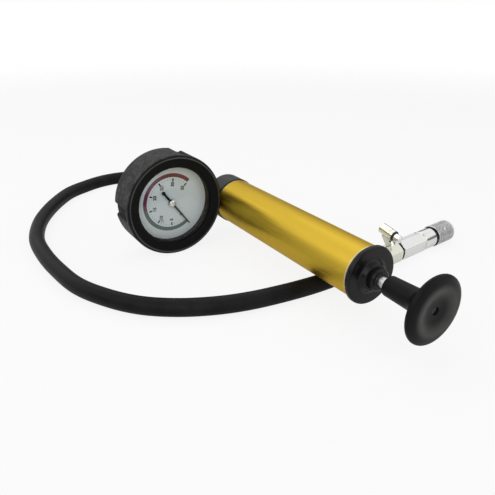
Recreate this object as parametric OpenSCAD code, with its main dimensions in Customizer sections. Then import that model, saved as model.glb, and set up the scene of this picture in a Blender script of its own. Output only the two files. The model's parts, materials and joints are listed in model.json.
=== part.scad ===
// Hand-pumped pressure tester: a piston pump with a Bourdon gauge in a rubber boot,
// a hose, and a fitting with a release valve and a quick coupler. Millimetres, +Z up.
// The pump lies along X with its knob at +X. The boot and the hose rest on the ground at z = 0.

/* [Pump barrel] */
// Outside diameter of the barrel tube
barrel_d = 35; // [33:0.5:37]
// Length of the barrel tube
barrel_len = 152.5; // [130:0.5:180]
// Wall of the barrel tube
barrel_wall = 2; // [1.5:0.25:2.5]
// Bare chamfer at both rims of the barrel
barrel_rim = 0.7; // [0.3:0.1:1]

/* [Front cap] */
// Diameter of the cap's flange
cap_d = 38.2; // [38:0.2:41]
// Thickness of the cap's flange
cap_t = 4.6; // [4:0.2:6]
// Rounding of the flange's front edge
cap_round = 3.2; // [1:0.2:3.4]
// Depth of the dish in the cap's face
cap_dish = 1.4; // [0.5:0.1:2]
// Length of the plug inside the barrel
cap_plug = 12; // [8:0.5:16]
// Diameter of the hub that carries the rod
hub_d = 19; // [17:0.5:22]
// Height of the hub above the flange
hub_h = 3.4; // [2:0.2:5]
// Diameter of the gland ring on the hub
gland_d = 14.4; // [13:0.2:16]
// Height of the gland ring
gland_h = 4.2; // [3.4:0.2:6]

/* [Plunger] */
// Diameter of the plunger rod
rod_d = 7; // [6:0.25:8]
// Rod that shows between the gland and the knob when pushed in
rod_show = 3.8; // [2:0.2:8]
// Length of the piston
piston_len = 10; // [8:0.5:12]
// Gap from the head to the piston's fastening when pushed in
piston_gap = 2.2; // [1:0.2:4]

/* [Knob] */
// Largest diameter of the knob
knob_d = 42.6; // [40:0.2:44]
// Length of the knob from the stem's end to the front
knob_len = 38; // [37:0.1:44]
// Stem diameter at its free end
stem_end_d = 10.2; // [9.6:0.2:11]
// Stem diameter where it flares
stem_root_d = 13.2; // [12:0.2:15]
// Straight part of the stem
stem_len = 19; // [16:0.5:21]
// Radius of the rounded rim
rim_r = 2; // [1.5:0.1:2.5]
// Radius of the crown between the rim and the dish
crown_r = 12; // [9:0.5:14]
// Depth of the dish in the front face
knob_dish = 2; // [0.5:0.1:2.5]
// Diameter of the screw hole in the face
knob_hole_d = 5.2; // [5:0.1:6.4]

/* [Head] */
// Diameter of the head behind the barrel
head_d = 36.4; // [36:0.1:37.4]
// Length of the head behind the barrel
head_len = 20; // [19.6:0.2:24]
// Rounding of the head's rear edge
head_round = 4; // [1:0.5:5]
// Length of the plug inside the barrel
head_plug = 10; // [9:0.5:12]
// Diameter of the boss for the gauge
boss_d = 18.4; // [17:0.2:20]
// Reach of the boss from the barrel's axis
boss_reach = 19.5; // [19.2:0.1:20]

/* [Gauge] */
// Outside diameter of the rubber boot
boot_d = 78; // [76:0.5:82]
// Gap between the boot and the head
boot_gap = 0.8; // [0.5:0.1:2]
// Depth of the boot in front of the stem's axis
boot_front = 18.5; // [18:0.1:20]
// Width of the boot's grip grooves in degrees
groove_deg = 14; // [6:1:20]
// Depth of the grip grooves
groove_depth = 1.8; // [0.5:0.1:2]
// Outside diameter of the steel case
case_d = 62.6; // [62:0.2:63]
// Wall of the case
case_wall = 0.8; // [0.6:0.1:1]
// Inside diameter of the bezel
bezel_in_d = 57.8; // [56:0.2:59]
// Thickness of the lens
lens_t = 1.5; // [1:0.1:1.5]
// Diameter of the dial plate
dial_d = 59.6; // [58:0.2:60]
// Thickness of the dial plate
dial_t = 0.7; // [0.5:0.1:1]
// Length of the pointer from its hub to the tip
pointer_len = 24; // [18:0.5:26]
// Length of the pointer's tail
pointer_tail = 10.6; // [6:0.2:12]
// Diameter of the stem's thread
stem_d = 13.1; // [12:0.1:13.4]
// Width across the stem's flats
stem_flats = 14; // [13:0.5:14.5]

/* [Gauge movement] */
// Module of the sector and pinion teeth
gear_m = 0.3; // [0.28:0.01:0.32]
// Teeth on the pointer's pinion
pinion_z = 12; // [12:1:13]
// Teeth on a whole circle of the sector
sector_z = 84; // [82:2:86]
// Mean radius of the Bourdon tube
tube_r = 23; // [22.6:0.1:23.4]
// Width of the Bourdon tube along the gauge's axis
tube_w = 8; // [6:0.5:8]
// Thickness of the flattened Bourdon tube
tube_t = 2.4; // [2:0.1:2.8]

/* [Hose] */
// Outside diameter of the hose
hose_d = 12; // [11:0.25:12]
// Bore of the hose
hose_bore_d = 6.4; // [6.2:0.1:7]
// Height of the gap between the hose and the barrel above it
hose_gap = 0.3; // [0.2:0.1:1]
// Outside diameter of the crimped ferrules
ferrule_d = 14.6; // [14:0.2:16]
// Length of the crimped ferrules
ferrule_len = 14; // [10:0.5:16]
// Width across flats of the nipple's hexagon
nipple_flats = 14; // [13:0.5:17]
// Length of the nipple's hexagon
nipple_hex = 7; // [5:0.5:8]

/* [Fitting] */
// Width across flats of both hexagons
hex_flats = 14.5; // [14:0.25:15]
// Length of the release valve's hexagon
valve_hex = 23; // [20:0.5:26]
// Length of the coupler's hexagon
coupler_hex = 26.7; // [22:0.1:30]
// Diameter of the smooth collar
collar_d = 15.6; // [15.4:0.1:16.6]
// Length of the smooth collar
collar_len = 14.3; // [10:0.1:18]
// Diameter of the knurled sleeve
sleeve_d = 17; // [16.8:0.1:17.4]
// Length of the knurled sleeve
sleeve_len = 21.7; // [21:0.1:24]
// Diameter of the coupler's socket
socket_d = 9.5; // [9.3:0.05:9.6]
// Draw of the knurled sleeve
sleeve_draw = 2.2; // [1.5:0.1:2.3]
// Diameter of the release valve's tube
release_d = 7; // [6.8:0.1:8]
// Length of the release valve's tube
release_len = 11.6; // [10:0.2:14]
// Reach of the button beyond its ring
button_show = 5.4; // [4:0.2:7]
// Travel of the button
button_draw = 2.2; // [1.5:0.1:2.5]

/* [Hidden] */
$fn = 72;
// Clearances of plugs, running parts and pressed parts
plug_fit = 0.05;
run_fit = 0.05;
seat_fit = 0.03;

// Barrel, head and front cap
bore_r = barrel_d / 2 - barrel_wall;
plug_r = bore_r - plug_fit;
axis_h = hose_d + hose_gap + barrel_d / 2;
edge = 0.5;
// How far a cut runs past what it cuts, and a joined piece into its neighbour
over = 1;
cap_front = barrel_len + cap_t;
hub_front = cap_front + hub_h;
gland_front = hub_front + gland_h;
rod_r = rod_d / 2;
bush_wall = 2;
bush_r = rod_r + run_fit + bush_wall;
wiper_len = 1.8;
wiper_r = rod_r + 2;
hub_foot = 1;
dish_wide = 4;
gland_play = 0.3;

// Plunger
nut_h = 4;
nut_flats = 8;
washer_h = 1;
washer_r = 6;
thread_r = 2.5;
nut_rear = head_plug + piston_gap + edge;
piston_rear = nut_rear + nut_h + washer_h;
piston_front = piston_rear + piston_len;
piston_play = 0.2;
ring_groove = 3;
ring_depth = 2.8;
knob_rear = gland_front + rod_show;
knob_front = knob_rear + knob_len;
rod_grip = 29;
rod_end = knob_rear + rod_grip;
screw_r = 1.5;
screw_deep = 10;
screw_play = 0.2;
screw_head_r = knob_hole_d / 2 - screw_play;
screw_head_h = 2;
slot_deep = 0.8;
knob_web = 4;

// Head
seal_w = 2.6;
seal_deep = 2.2;
seal_at = 4;
seat_r = 6;
seat_len = 7;
chamber_r = 4.2;
chamber_len = 11;
passage_r = 1.6;
orifice_r = 1.5;
ball_r = 2.5;
seat_face = head_plug - seat_len;
ball_at = seat_face - sqrt(ball_r * ball_r - orifice_r * orifice_r) - seat_fit;
port_r = 5;
port_len = 8.9;
port_play = 0.3;
stem_play = 0.2;
stem_x = -head_len / 2;

// Gauge diameters: the case holds the bezel's lip and the dial, and the boot holds the bezel
bezel_lip = 2.4;
bezel_wall = 0.75;
dial_play = 0.7;
boot_fit = 0.1;
boot_skin = 2.5;
case_r = max(case_d / 2, bezel_in_d / 2 + bezel_lip, dial_d / 2 + dial_play + case_wall);
case_in = case_r - case_wall;
bezel_r = case_r + run_fit + bezel_wall;
boot_r = max(boot_d / 2, bezel_r + boot_fit + boot_skin);

// Gauge placing, with the boot on the ground and clear of the head and the barrel
gauge_reach = boot_r + max(head_d, barrel_d) / 2 + boot_gap;
gauge_roll = asin((boot_r - axis_h) / gauge_reach);
mid_x = (knob_front - head_len) / 2;
mid_y = (knob_d / 2 - gauge_reach * cos(gauge_roll) - boot_r) / 2;

// Gauge parts along the gauge's axis from the stem's axis
case_back = -8;
case_rim = 12.5;
gasket_t = 0.5;
gasket_in = 1;
lens_back = case_rim + gasket_t;
lens_front = lens_back + lens_t;
bezel_t = 1;
bezel_front = lens_front + bezel_t;
bezel_skirt = 5;
boot_floor = 1.7;
boot_back = case_back - boot_floor;
boot_back_r = 3;
boot_front_r = 2;
boot_step = 4;
boot_lean = 0.2;
groove_at = 80;
groove_turn = 112;
grooves = 3;
groove_end = 4.6;
boot_open_r = 20;
lip_show = 1.5;
lip_in_r = bezel_in_d / 2 + lip_show;
lip_t = 0.9;
lip_drop = 0.4;
lip_r = boot_r - 3;
stem_open_r = 10.5;
stem_open_in = case_r - 6;
dial_back = 7.5;
dial_front = dial_back + dial_t;
plate_t = 1.2;
back_plate = -4.5;
front_plate = 4;
arbor_r = 0.6;
hub_r = 2.5;
hub_gap = 0.7;
hub_len = 2;
hub_back = dial_front + hub_gap;
hub_top = hub_back + hub_len;
needle_up = 0.4;
needle_t = 0.5;
arbor_sunk = 0.2;
needle_w = 1.7;
needle_tip = 1;
tail_r = 1.4;
zero_deg = 225;
flats_gap = 0.3;
flats_top = case_r + flats_gap;
washer_t = 1.5;
flats_end = gauge_reach - boss_reach - washer_t;
stem_stop = 5.2;
stem_end = gauge_reach - stem_stop;
washer_rim = 0.4;
block_w = 13;
block_back = -6.5;
block_front = 5.5;
block_top = 19.2;
block_bottom = 29.3;
lug_top = 12.5;
neck_r = 6;
neck_sunk = 2;
neck_open = 4;
tube_start = 85;
tube_end = 350;
tube_x = -0.5;
tube_wall = 0.5;
socket_deg = 40;
socket_play_deg = 0.3;

// Movement layout in the dial's plane, y to the right and z up
pivot_deg = 225;
pressure_deg = 20;
backlash = 0.03;
pinion_r = gear_m * pinion_z / 2;
sector_r = gear_m * sector_z / 2;
pivot_r = pinion_r + sector_r;
pivot_y = pivot_r * cos(pivot_deg);
pivot_z = pivot_r * sin(pivot_deg);
tooth_step = 360 / sector_z;
teeth_up = 1;
teeth_down = 11;
sector_t = 1.2;
sector_back = 0.5;
pinion_back = 0.1;
pinion_t = 2;
pinion_root = 0.95;
sector_root = 1.25;
sector_tip = 0.65;
band_in = sector_r - 2.2;
sector_hub = 2.2;
spoke_deg = 12;
spoke_low_deg = 14;
spoke_in = [0.4, 0.2];
spoke_low_in = [0.3, -0.3];
tail_deg = -22;
tail_len = 8;
tail_w = 2.4;
pin_r = 0.5;
link_t = 0.7;
link_w = 2;
link_gap = 0.2;
link_back = sector_back + sector_t + link_gap;
link_end = [18, -5];
tip_deg = 6;
tip_wall = 0.3;
tip_eye_r = 1.2;
tip_arm_w = 1.8;
tip_arm_t = 0.8;
tail_end = [pivot_y + tail_len * cos(tail_deg), pivot_z + tail_len * sin(tail_deg)];
post_r = 1.6;
plate_rim = 1.2;
post_a = [-15, 6];
post_b = [12, 9];
post_c = [9, -16];
screw_m = 0.8;
dial_screw_r = 1.5;
dial_screw_h = 0.6;

// Fitting, stations along its axis from the seal ring between the hexagons
fit_x = 110.3;
fit_y = 74.2;
fit_h = 8.75;
fit_yaw = 6.35;
hex_roll = 5.5;
ring_t = 2;
spigot_r = 4.2;
spigot_len = 9;
valve_end = -ring_t / 2;
valve_start = valve_end - valve_hex;
valve_neck = 10;
tail_start = valve_start - valve_neck;
barb_r = 2.95;
barb_root = 2.6;
barb_len = 12;
barb_step = 3;
bleed_r = 2.2;
bleed_sunk = 2;
ring_proud = 0.3;
coupler_start = ring_t / 2;
collar_start = coupler_start + coupler_hex;
collar_end = collar_start + collar_len;
dust_room = 0.2;
dust_gap = 0.1;
dust_t = sleeve_draw + dust_room;
sleeve_start = collar_end + dust_t + dust_gap;
sleeve_end = sleeve_start + sleeve_len;
nose_show = 2.4;
nose_end = sleeve_end + nose_show;
nose_r = 6;
land_play = 0.08;
land_from = 10.5;
land_len = 7;
land_r = nose_r + land_play;
land_start = sleeve_start + land_from;
land_end = land_start + land_len;
skirt_r = 7.6;
mouth_r = 7.2;
socket_from = 3.5;
socket_start = sleeve_start + socket_from;
socket_r = socket_d / 2;
ball_at_s = land_start + land_len / 2;
lock_r = 1.1;
locks = 6;
lock_in = 3;
lock_out = 8;
lock_at = land_r - seat_fit - lock_r;
relief_w = 2.4;
relief_deep = 0.5;
clip_t = 1.1;
clip_play = 0.05;
clip_at = land_end + clip_play;
clip_in = 5.4;
clip_out = 7;
clip_open = 30;
oring_at = socket_start + 3;
oring_w = 2;
oring_deep = 0.75;
oring_play = 0.05;
valve_s = -7;
valve_x = -10.4;
valve_up = 18;
valve_tilt = 15;
valve_web = 5;
web_left = -5.5;
web_right = 4;
web_foot = 5;
web_back = 2.5;
web_bleed_x = -4.2;
web_bleed_r = 1;
tail_r_out = 6.8;
release_r = release_d / 2;
button_r = 2.9;
button_dome = 1.6;
button_proud = 0.5;
button_ring_t = 1.4;
plug_t = 1.5;
spring_solid = 2.3;
button_rear = plug_t + spring_solid + button_draw;

// Hose route: centre points from the head to the fitting, measured from the barrel's rear rim
hose_r = hose_d / 2;
nipple_rear = -head_len - nipple_hex;
hose_sides = 12;
hose_straight = 16;
hose_tail = 7;
hose_settle = 0.6;
hose_rise = 0.9;
fit_dir = [-sin(fit_yaw), cos(fit_yaw), 0];
function on_fit(s) = [fit_x, fit_y, fit_h] + s * fit_dir;
route = [
  [nipple_rear, 0, axis_h],
  [nipple_rear - hose_straight, 0, axis_h],
  [nipple_rear - 2 * hose_straight, 0, axis_h],
  [-78, 4, 26],
  [-97, 8, 18],
  [-116, 13, 10],
  [-134, 15, hose_r + hose_settle],
  [-152, 11, hose_r],
  [-168, -1, hose_r],
  [-179, -18, hose_r],
  [-184, -38, hose_r],
  [-182, -57, hose_r],
  [-174, -76, hose_r],
  [-164, -92.5, hose_r],
  [-149, -106.5, hose_r],
  [-125, -123.5, hose_r],
  [-97, -138, hose_r],
  [-64, -148, hose_r],
  [-31.5, -150, hose_r],
  [0, -148, hose_r],
  [30, -143, hose_r],
  [55, -132, hose_r],
  [75, -118, hose_r],
  [90, -100, hose_r],
  [101, -79, hose_r],
  [108, -57, hose_r],
  [112, -32, hose_r],
  [113.8, -9, hose_r],
  [114.8, 9, hose_r + hose_rise],
  on_fit(tail_start - 2 * hose_tail),
  on_fit(tail_start - hose_tail),
  on_fit(tail_start)
];

// Frames and small helpers

module on_pump() {
  translate([-mid_x, -mid_y, axis_h]) children();
}

module on_axis() {
  on_pump() rotate([0, 90, 0]) children();
}

module at_gauge() {
  on_pump() rotate([-gauge_roll, 0, 0]) translate([stem_x, -gauge_reach, 0]) rotate([90, 0, 0]) children();
}

module about_gauge() {
  at_gauge() rotate([0, 90, 0]) children();
}

module in_dial(x0, t) {
  translate([x0, 0, 0]) rotate([90, 0, 90]) linear_extrude(height = t) children();
}

// A cut through a plate of the dial's stack
module through_dial(x0, t) {
  in_dial(x0 - over, t + 2 * over) children();
}

module on_fitting() {
  translate([fit_x - mid_x, fit_y - mid_y, fit_h]) rotate([0, 0, fit_yaw]) rotate([-90, 0, 0]) children();
}

module on_release() {
  on_fitting() translate([valve_x, -valve_up, valve_s]) rotate([0, 0, valve_tilt])
    rotate([0, 90, 0]) children();
}

module lathe(pts) {
  rotate_extrude() polygon(pts);
}

module ring(r_in, r_out, z0, z1) {
  lathe([[r_in, z0], [r_out, z0], [r_out, z1], [r_in, z1]]);
}

module rod(r, z0, z1) {
  translate([0, 0, z0]) cylinder(r = r, h = z1 - z0);
}

module hexagon(flats, z0, z1) {
  translate([0, 0, z0]) cylinder(r = flats / 2 / cos(30), h = z1 - z0, $fn = 6);
}

// A hexagon with its end corners turned off at 30 degrees
module turned_hex(flats, z0, z1) {
  corner = flats / 2 / cos(30);
  drop = (corner - flats / 2) * tan(30);
  intersection() {
    hexagon(flats, z0, z1);
    lathe([[0, z0], [flats / 2, z0], [corner, z0 + drop], [corner, z1 - drop], [flats / 2, z1], [0, z1]]);
  }
}

function arc(cr, cz, r, a0, a1, n = 8) =
  [for (i = [0:n]) let(a = a0 + (a1 - a0) * i / n) [cr + r * cos(a), cz + r * sin(a)]];

// Soft ring with a rounded outer face
module o_ring(r_in, r_out, z0, z1) {
  half = (z1 - z0) / 2;
  lathe(concat([[r_in, z1], [r_in, z0]], arc(r_out - half, z0 + half, half, -90, 90)));
}

// Barbed tail that ends at z, for the hose
module barb(z) {
  tip = z - barb_len;
  lathe([[0, tip], [barb_root, tip], [barb_r, tip + barb_step], [barb_root, tip + barb_step],
    [barb_r, tip + 2 * barb_step], [barb_root, tip + 2 * barb_step], [barb_root, z], [0, z]]);
}

// Solid swept through rings of points
module sweep(rings) {
  n = len(rings);
  k = len(rings[0]);
  pts = [for (r = rings) each r];
  sides = [for (i = [0:n - 2], j = [0:k - 1]) let(a = i * k + j, b = i * k + (j + 1) % k)
    each [[a, a + k, b + k], [a, b + k, b]]];
  caps = [[for (j = [0:k - 1]) j], [for (j = [k - 1:-1:0]) (n - 1) * k + j]];
  polyhedron(points = pts, faces = concat(sides, caps));
}

// Wound wire about Z
coil_step = 24;
coil_sides = 6;
module coil(r, wire, z0, z1, turns) {
  n = round(turns * 360 / coil_step);
  sweep([for (i = [0:n]) let(a = i * coil_step, z = z0 + (z1 - z0) * i / n)
    [for (j = [0:coil_sides - 1]) let(b = -j * 360 / coil_sides, q = r + wire * cos(b))
      [q * cos(a), q * sin(a), z + wire * sin(b)]]]);
}

// Gear teeth: half angle of a tooth at radius r, and the outline of one tooth
function inv(a) = tan(a) * 180 / PI - a;
function tooth_half(r, z, m) = let(rb = m * z / 2 * cos(pressure_deg), q = max(r, rb))
  90 / z - backlash / (m * z / 2) * 180 / PI + inv(pressure_deg) - inv(acos(rb / q));
function polar(r, a) = r * [cos(a), sin(a)];
function tooth(c, z, m, root, tip, n = 5) = let(rs = [for (i = [0:n]) root + (tip - root) * i / n]) concat(
  [for (i = [0:n]) polar(rs[i], c - tooth_half(rs[i], z, m))],
  [for (i = [n:-1:0]) polar(rs[i], c + tooth_half(rs[i], z, m))]);

// Pump

module barrel() {
  r = barrel_d / 2;
  color("gold") on_axis() lathe([[bore_r, 0], [r - barrel_rim, 0], [r, barrel_rim],
    [r, barrel_len - barrel_rim], [r - barrel_rim, barrel_len], [bore_r, barrel_len]]);
}

module front_cap() {
  r = cap_d / 2;
  face = r - cap_round;
  color("#202022") on_axis() lathe(concat(
    [[bush_r, barrel_len - cap_plug], [plug_r, barrel_len - cap_plug], [plug_r, barrel_len],
     [r - edge, barrel_len], [r, barrel_len + edge]],
    arc(face, cap_front - cap_round, cap_round, 0, 90),
    [[hub_d / 2 + dish_wide, cap_front - cap_dish], [hub_d / 2 + hub_foot, cap_front - cap_dish],
     [hub_d / 2, cap_front], [hub_d / 2 - edge, hub_front], [bush_r, hub_front]]));
}

module rod_bush() {
  color("#b58b3c") on_axis() ring(rod_r + run_fit, bush_r - seat_fit, barrel_len - cap_plug, hub_front);
}

module rod_wiper() {
  color("#18181a") on_axis() o_ring(rod_r + run_fit, wiper_r, hub_front, hub_front + wiper_len);
}

module gland_ring() {
  r = gland_d / 2;
  seat = hub_front + wiper_len;
  color("#28282b") on_axis() lathe([[wiper_r + plug_fit, hub_front], [r, hub_front],
    [r, gland_front - 2 * edge], [r - 2 * edge, gland_front], [rod_r + gland_play, gland_front],
    [rod_r + gland_play, seat], [wiper_r + plug_fit, seat]]);
}

module plunger_rod() {
  color("#c9ccd0") on_axis() difference() {
    lathe([[0, nut_rear - edge], [thread_r, nut_rear - edge], [thread_r, piston_front],
      [rod_r, piston_front], [rod_r, rod_end], [0, rod_end]]);
    rod(screw_r + seat_fit, rod_end - screw_deep - over, rod_end + over);
  }
}

// The rim rolls into a crown at crown_deg, and the dish is part of a ball
crown_deg = 60;
flare_share = 0.9;
flare_deg = 116;
flare_parts = 9;
rim_parts = 12;
dish_flat = 1;
module knob() {
  rim_c = knob_d / 2 - rim_r;
  rim_z = knob_front - rim_r * sin(crown_deg) - crown_r * (1 - sin(crown_deg));
  crown_c = rim_c - (crown_r - rim_r) * cos(crown_deg);
  root = stem_root_d / 2;
  flare = flare_share * (rim_z - rim_r * sin(crown_deg) - knob_rear - stem_len);
  dish_edge = crown_c - dish_flat;
  hole = knob_hole_d / 2;
  ball = (dish_edge * dish_edge + knob_dish * knob_dish) / (2 * knob_dish);
  color("#1c1c1e") on_axis() lathe(concat(
    [[rod_r + plug_fit, knob_rear], [stem_end_d / 2 - edge, knob_rear], [stem_end_d / 2, knob_rear + edge]],
    arc(root + flare, knob_rear + stem_len, flare, 180, flare_deg, flare_parts),
    arc(rim_c, rim_z, rim_r, -crown_deg, crown_deg, rim_parts),
    arc(crown_c, knob_front - crown_r, crown_r, crown_deg, 90),
    arc(0, knob_front - knob_dish + ball, ball, asin(dish_edge / ball) - 90, asin(hole / ball) - 90),
    [[hole, rod_end + knob_web], [screw_r + plug_fit, rod_end + knob_web],
     [screw_r + plug_fit, rod_end], [rod_r + plug_fit, rod_end]]));
}

module knob_screw() {
  seat = rod_end + knob_web;
  color("#8d9094") on_axis() difference() {
    union() {
      rod(screw_r, rod_end - screw_deep, seat);
      rod(screw_head_r, seat, seat + screw_head_h);
    }
    translate([-screw_head_r, -edge / 2, seat + screw_head_h - slot_deep])
      cube([2 * screw_head_r, edge, 2 * slot_deep]);
  }
}

module piston() {
  r = bore_r - piston_play;
  mid = (piston_rear + piston_front) / 2;
  color("#d8d5c8") on_axis() lathe([[thread_r + plug_fit, piston_rear], [r - edge, piston_rear],
    [r, piston_rear + edge], [r, mid - ring_groove / 2], [r - ring_depth, mid - ring_groove / 2],
    [r - ring_depth, mid + ring_groove / 2], [r, mid + ring_groove / 2], [r, piston_front - edge],
    [r - edge, piston_front], [thread_r + plug_fit, piston_front]]);
}

module piston_seal() {
  mid = (piston_rear + piston_front) / 2;
  half = ring_groove / 2 - seat_fit;
  inner = bore_r - piston_play - ring_depth + seat_fit;
  color("#18181a") on_axis() o_ring(inner, bore_r - run_fit, mid - half, mid + half);
}

module piston_washer() {
  color("#b9bcc0") on_axis() ring(thread_r + plug_fit, washer_r, piston_rear - washer_h, piston_rear);
}

module piston_nut() {
  color("#b9bcc0") on_axis() difference() {
    turned_hex(nut_flats, nut_rear, nut_rear + nut_h);
    rod(thread_r + plug_fit, nut_rear - over, nut_rear + nut_h + over);
  }
}

// Head and check valve

module head() {
  r = head_d / 2;
  color("#202022") on_pump() rotate([-gauge_roll, 0, 0]) difference() {
    union() {
      rotate([0, 90, 0]) lathe(concat(
        [[0, -head_len]], arc(r - head_round, head_round - head_len, head_round, -90, 0),
        [[r, -edge], [r - edge, 0], [plug_r, 0], [plug_r, seal_at], [plug_r - seal_deep, seal_at],
         [plug_r - seal_deep, seal_at + seal_w], [plug_r, seal_at + seal_w],
         [plug_r, head_plug], [0, head_plug]]));
      translate([stem_x, 0, 0]) rotate([90, 0, 0]) rod(boss_d / 2, 0, boss_reach);
    }
    rotate([0, 90, 0]) {
      rod(seat_r, seat_face, head_plug + over);
      rod(chamber_r, seat_face - chamber_len, seat_face + over);
      rod(passage_r, -head_len, 0);
      rod(port_r, -head_len - over, port_len - head_len);
    }
    translate([stem_x, 0, 0]) rotate([90, 0, 0]) {
      rod(stem_d / 2 + plug_fit, stem_stop - stem_play, boss_reach + over);
      rod(passage_r, 0, boss_reach);
    }
  }
}

module head_seal() {
  color("#18181a") on_axis() o_ring(plug_r - seal_deep + seat_fit, bore_r - seat_fit,
    seal_at + seat_fit, seal_at + seal_w - seat_fit);
}

module valve_seat() {
  color("#b58b3c") on_axis() ring(orifice_r, seat_r - seat_fit, seat_face, head_plug);
}

module check_ball() {
  color("#c9ccd0") on_axis() translate([0, 0, ball_at]) sphere(r = ball_r);
}

check_wire = 0.3;
check_coil_r = 2.3;
check_room = 0.25;
check_turns = 5;
module check_spring() {
  rear = seat_face - chamber_len + check_wire + seat_fit;
  front = ball_at - sqrt(ball_r * ball_r - check_coil_r * check_coil_r) - check_wire - check_room;
  color("#a9acb0") on_axis() coil(check_coil_r, check_wire, rear, front, check_turns);
}

module hose_nipple() {
  color("#c8ab63") on_axis() difference() {
    union() {
      rod(port_r - plug_fit, -head_len, port_len - head_len - port_play);
      turned_hex(nipple_flats, nipple_rear, -head_len);
      barb(nipple_rear);
    }
    rod(passage_r, nipple_rear - barb_len - over, 0);
  }
}

// Gauge

module gauge_boot() {
  r = boot_r;
  seat = lens_front - bezel_skirt - boot_fit;
  top = bezel_front + boot_fit;
  floor_z = case_back - boot_fit;
  shelf = boot_front - groove_end;
  color("#1d1d1f") at_gauge() difference() {
    rotate([0, 90, 0]) difference() {
      lathe(concat(
        [[boot_open_r, boot_back]], arc(r - boot_back_r, boot_back + boot_back_r, boot_back_r, -90, 0),
        [[r, boot_front - boot_step]],
        arc(r - boot_front_r - boot_lean, boot_front - boot_front_r, boot_front_r, 0, 90),
        [[lip_r, boot_front - lip_drop], [lip_in_r, top + lip_t], [lip_in_r, top],
         [bezel_r + boot_fit, top], [bezel_r + boot_fit, seat],
         [case_r + boot_fit, seat], [case_r + boot_fit, floor_z], [boot_open_r, floor_z]]));
      for (i = [0:grooves - 1]) rotate([0, 0, groove_at + i * groove_turn - groove_deg / 2])
        rotate_extrude(angle = groove_deg) polygon([[r - groove_depth, boot_back - over],
          [r + over, boot_back - over], [r + over, shelf], [r - groove_depth, shelf]]);
    }
    rotate([180, 0, 0]) rod(stem_open_r, stem_open_in, r + over);
  }
}

module gauge_case() {
  color("#3a3a3d") at_gauge() difference() {
    rotate([0, 90, 0]) lathe([[0, case_back], [case_r, case_back], [case_r, case_rim], [case_in, case_rim],
      [case_in, case_back + case_wall], [0, case_back + case_wall]]);
    rotate([180, 0, 0]) rod(neck_r + plug_fit, case_in - neck_open, case_r + over);
  }
}

module gauge_bezel() {
  color("#1a1a1c") about_gauge() lathe([[bezel_in_d / 2, lens_front], [case_r + run_fit, lens_front],
    [case_r + run_fit, lens_front - bezel_skirt], [bezel_r, lens_front - bezel_skirt],
    [bezel_r, bezel_front - edge], [bezel_r - edge, bezel_front], [bezel_in_d / 2 + edge, bezel_front],
    [bezel_in_d / 2, bezel_front - edge]]);
}

module gauge_lens() {
  color("#dfe8ea", 0.4) about_gauge() rod(case_r - 2 * run_fit, lens_back, lens_front);
}

module lens_gasket() {
  color("#18181a") about_gauge() ring(case_in - gasket_in, case_r, case_rim, lens_back);
}

module gauge_dial() {
  color("#dfe3dd") at_gauge() difference() {
    in_dial(dial_back, dial_t) circle(r = dial_d / 2);
    through_dial(dial_back, dial_t) {
      circle(r = 2 * arbor_r);
      for (p = [post_a, post_b]) translate(p) circle(r = screw_m + run_fit);
    }
  }
}

module dial_spacers() {
  color("#b58b3c") at_gauge() for (p = [post_a, post_b])
    in_dial(front_plate + plate_t, dial_back - front_plate - plate_t) translate(p) difference() {
      circle(r = post_r);
      circle(r = screw_m + run_fit);
    }
}

module dial_screws() {
  color("#5d6064") at_gauge() for (p = [post_a, post_b]) {
    in_dial(front_plate, dial_front - front_plate) translate(p) circle(r = screw_m);
    in_dial(dial_front, dial_screw_h) translate(p) circle(r = dial_screw_r);
  }
}

module pointer() {
  color("#141416") at_gauge() rotate([-zero_deg, 0, 0]) difference() {
    union() {
      in_dial(hub_back, hub_len) circle(r = hub_r);
      in_dial(hub_back + needle_up, needle_t) {
        polygon([[-needle_w / 2, -pointer_tail], [needle_w / 2, -pointer_tail], [needle_w / 2, 0],
          [needle_tip / 2, pointer_len], [-needle_tip / 2, pointer_len], [-needle_w / 2, 0]]);
        translate([0, -pointer_tail]) circle(r = tail_r);
      }
    }
    through_dial(hub_back, hub_len) circle(r = arbor_r + seat_fit);
  }
}

module pointer_arbor() {
  root = pinion_r - pinion_root * gear_m;
  step = 360 / pinion_z;
  teeth = [for (i = [0:pinion_z - 1])
    each tooth(pivot_deg + (i + 0.5) * step, pinion_z, gear_m, root, pinion_r + gear_m)];
  color("#c8ab63") at_gauge() {
    in_dial(back_plate, hub_top - back_plate - arbor_sunk) circle(r = arbor_r);
    in_dial(pinion_back, pinion_t) polygon(teeth);
  }
}

hair_turns = 4;
hair_step = 24;
hair_x = -2.4;
hair_w = 0.8;
hair_t = 0.12;
hair_gap = 0.5;
hair_in = arbor_r + hair_gap;
hair_pitch = 1;
module hairspring() {
  n = hair_turns * 360 / hair_step;
  rings = [for (i = [0:n]) let(a = i * hair_step, r = hair_in + hair_pitch * a / 360)
    [for (c = [[0, 0], [0, 1], [1, 1], [1, 0]]) let(q = r + c[0] * hair_t)
      [hair_x + c[1] * hair_w, q * cos(a), q * sin(a)]]];
  color("#c8ab63") at_gauge() sweep(rings);
}

module plate(x0) {
  corners = [post_a, post_b, post_c, [pivot_y, pivot_z]];
  difference() {
    union() {
      in_dial(x0, plate_t) polygon(corners);
      for (p = corners) in_dial(x0, plate_t) translate(p) circle(r = post_r + plate_rim);
    }
    through_dial(x0, plate_t) for (p = [[0, 0], [pivot_y, pivot_z]])
      translate(p) circle(r = arbor_r + run_fit);
  }
}

module movement_back() {
  color("#c8ab63") at_gauge() plate(back_plate);
}

module movement_front() {
  color("#c8ab63") at_gauge() difference() {
    plate(front_plate);
    through_dial(front_plate, plate_t) for (p = [post_a, post_b])
      translate(p) circle(r = screw_m + run_fit);
  }
}

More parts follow.
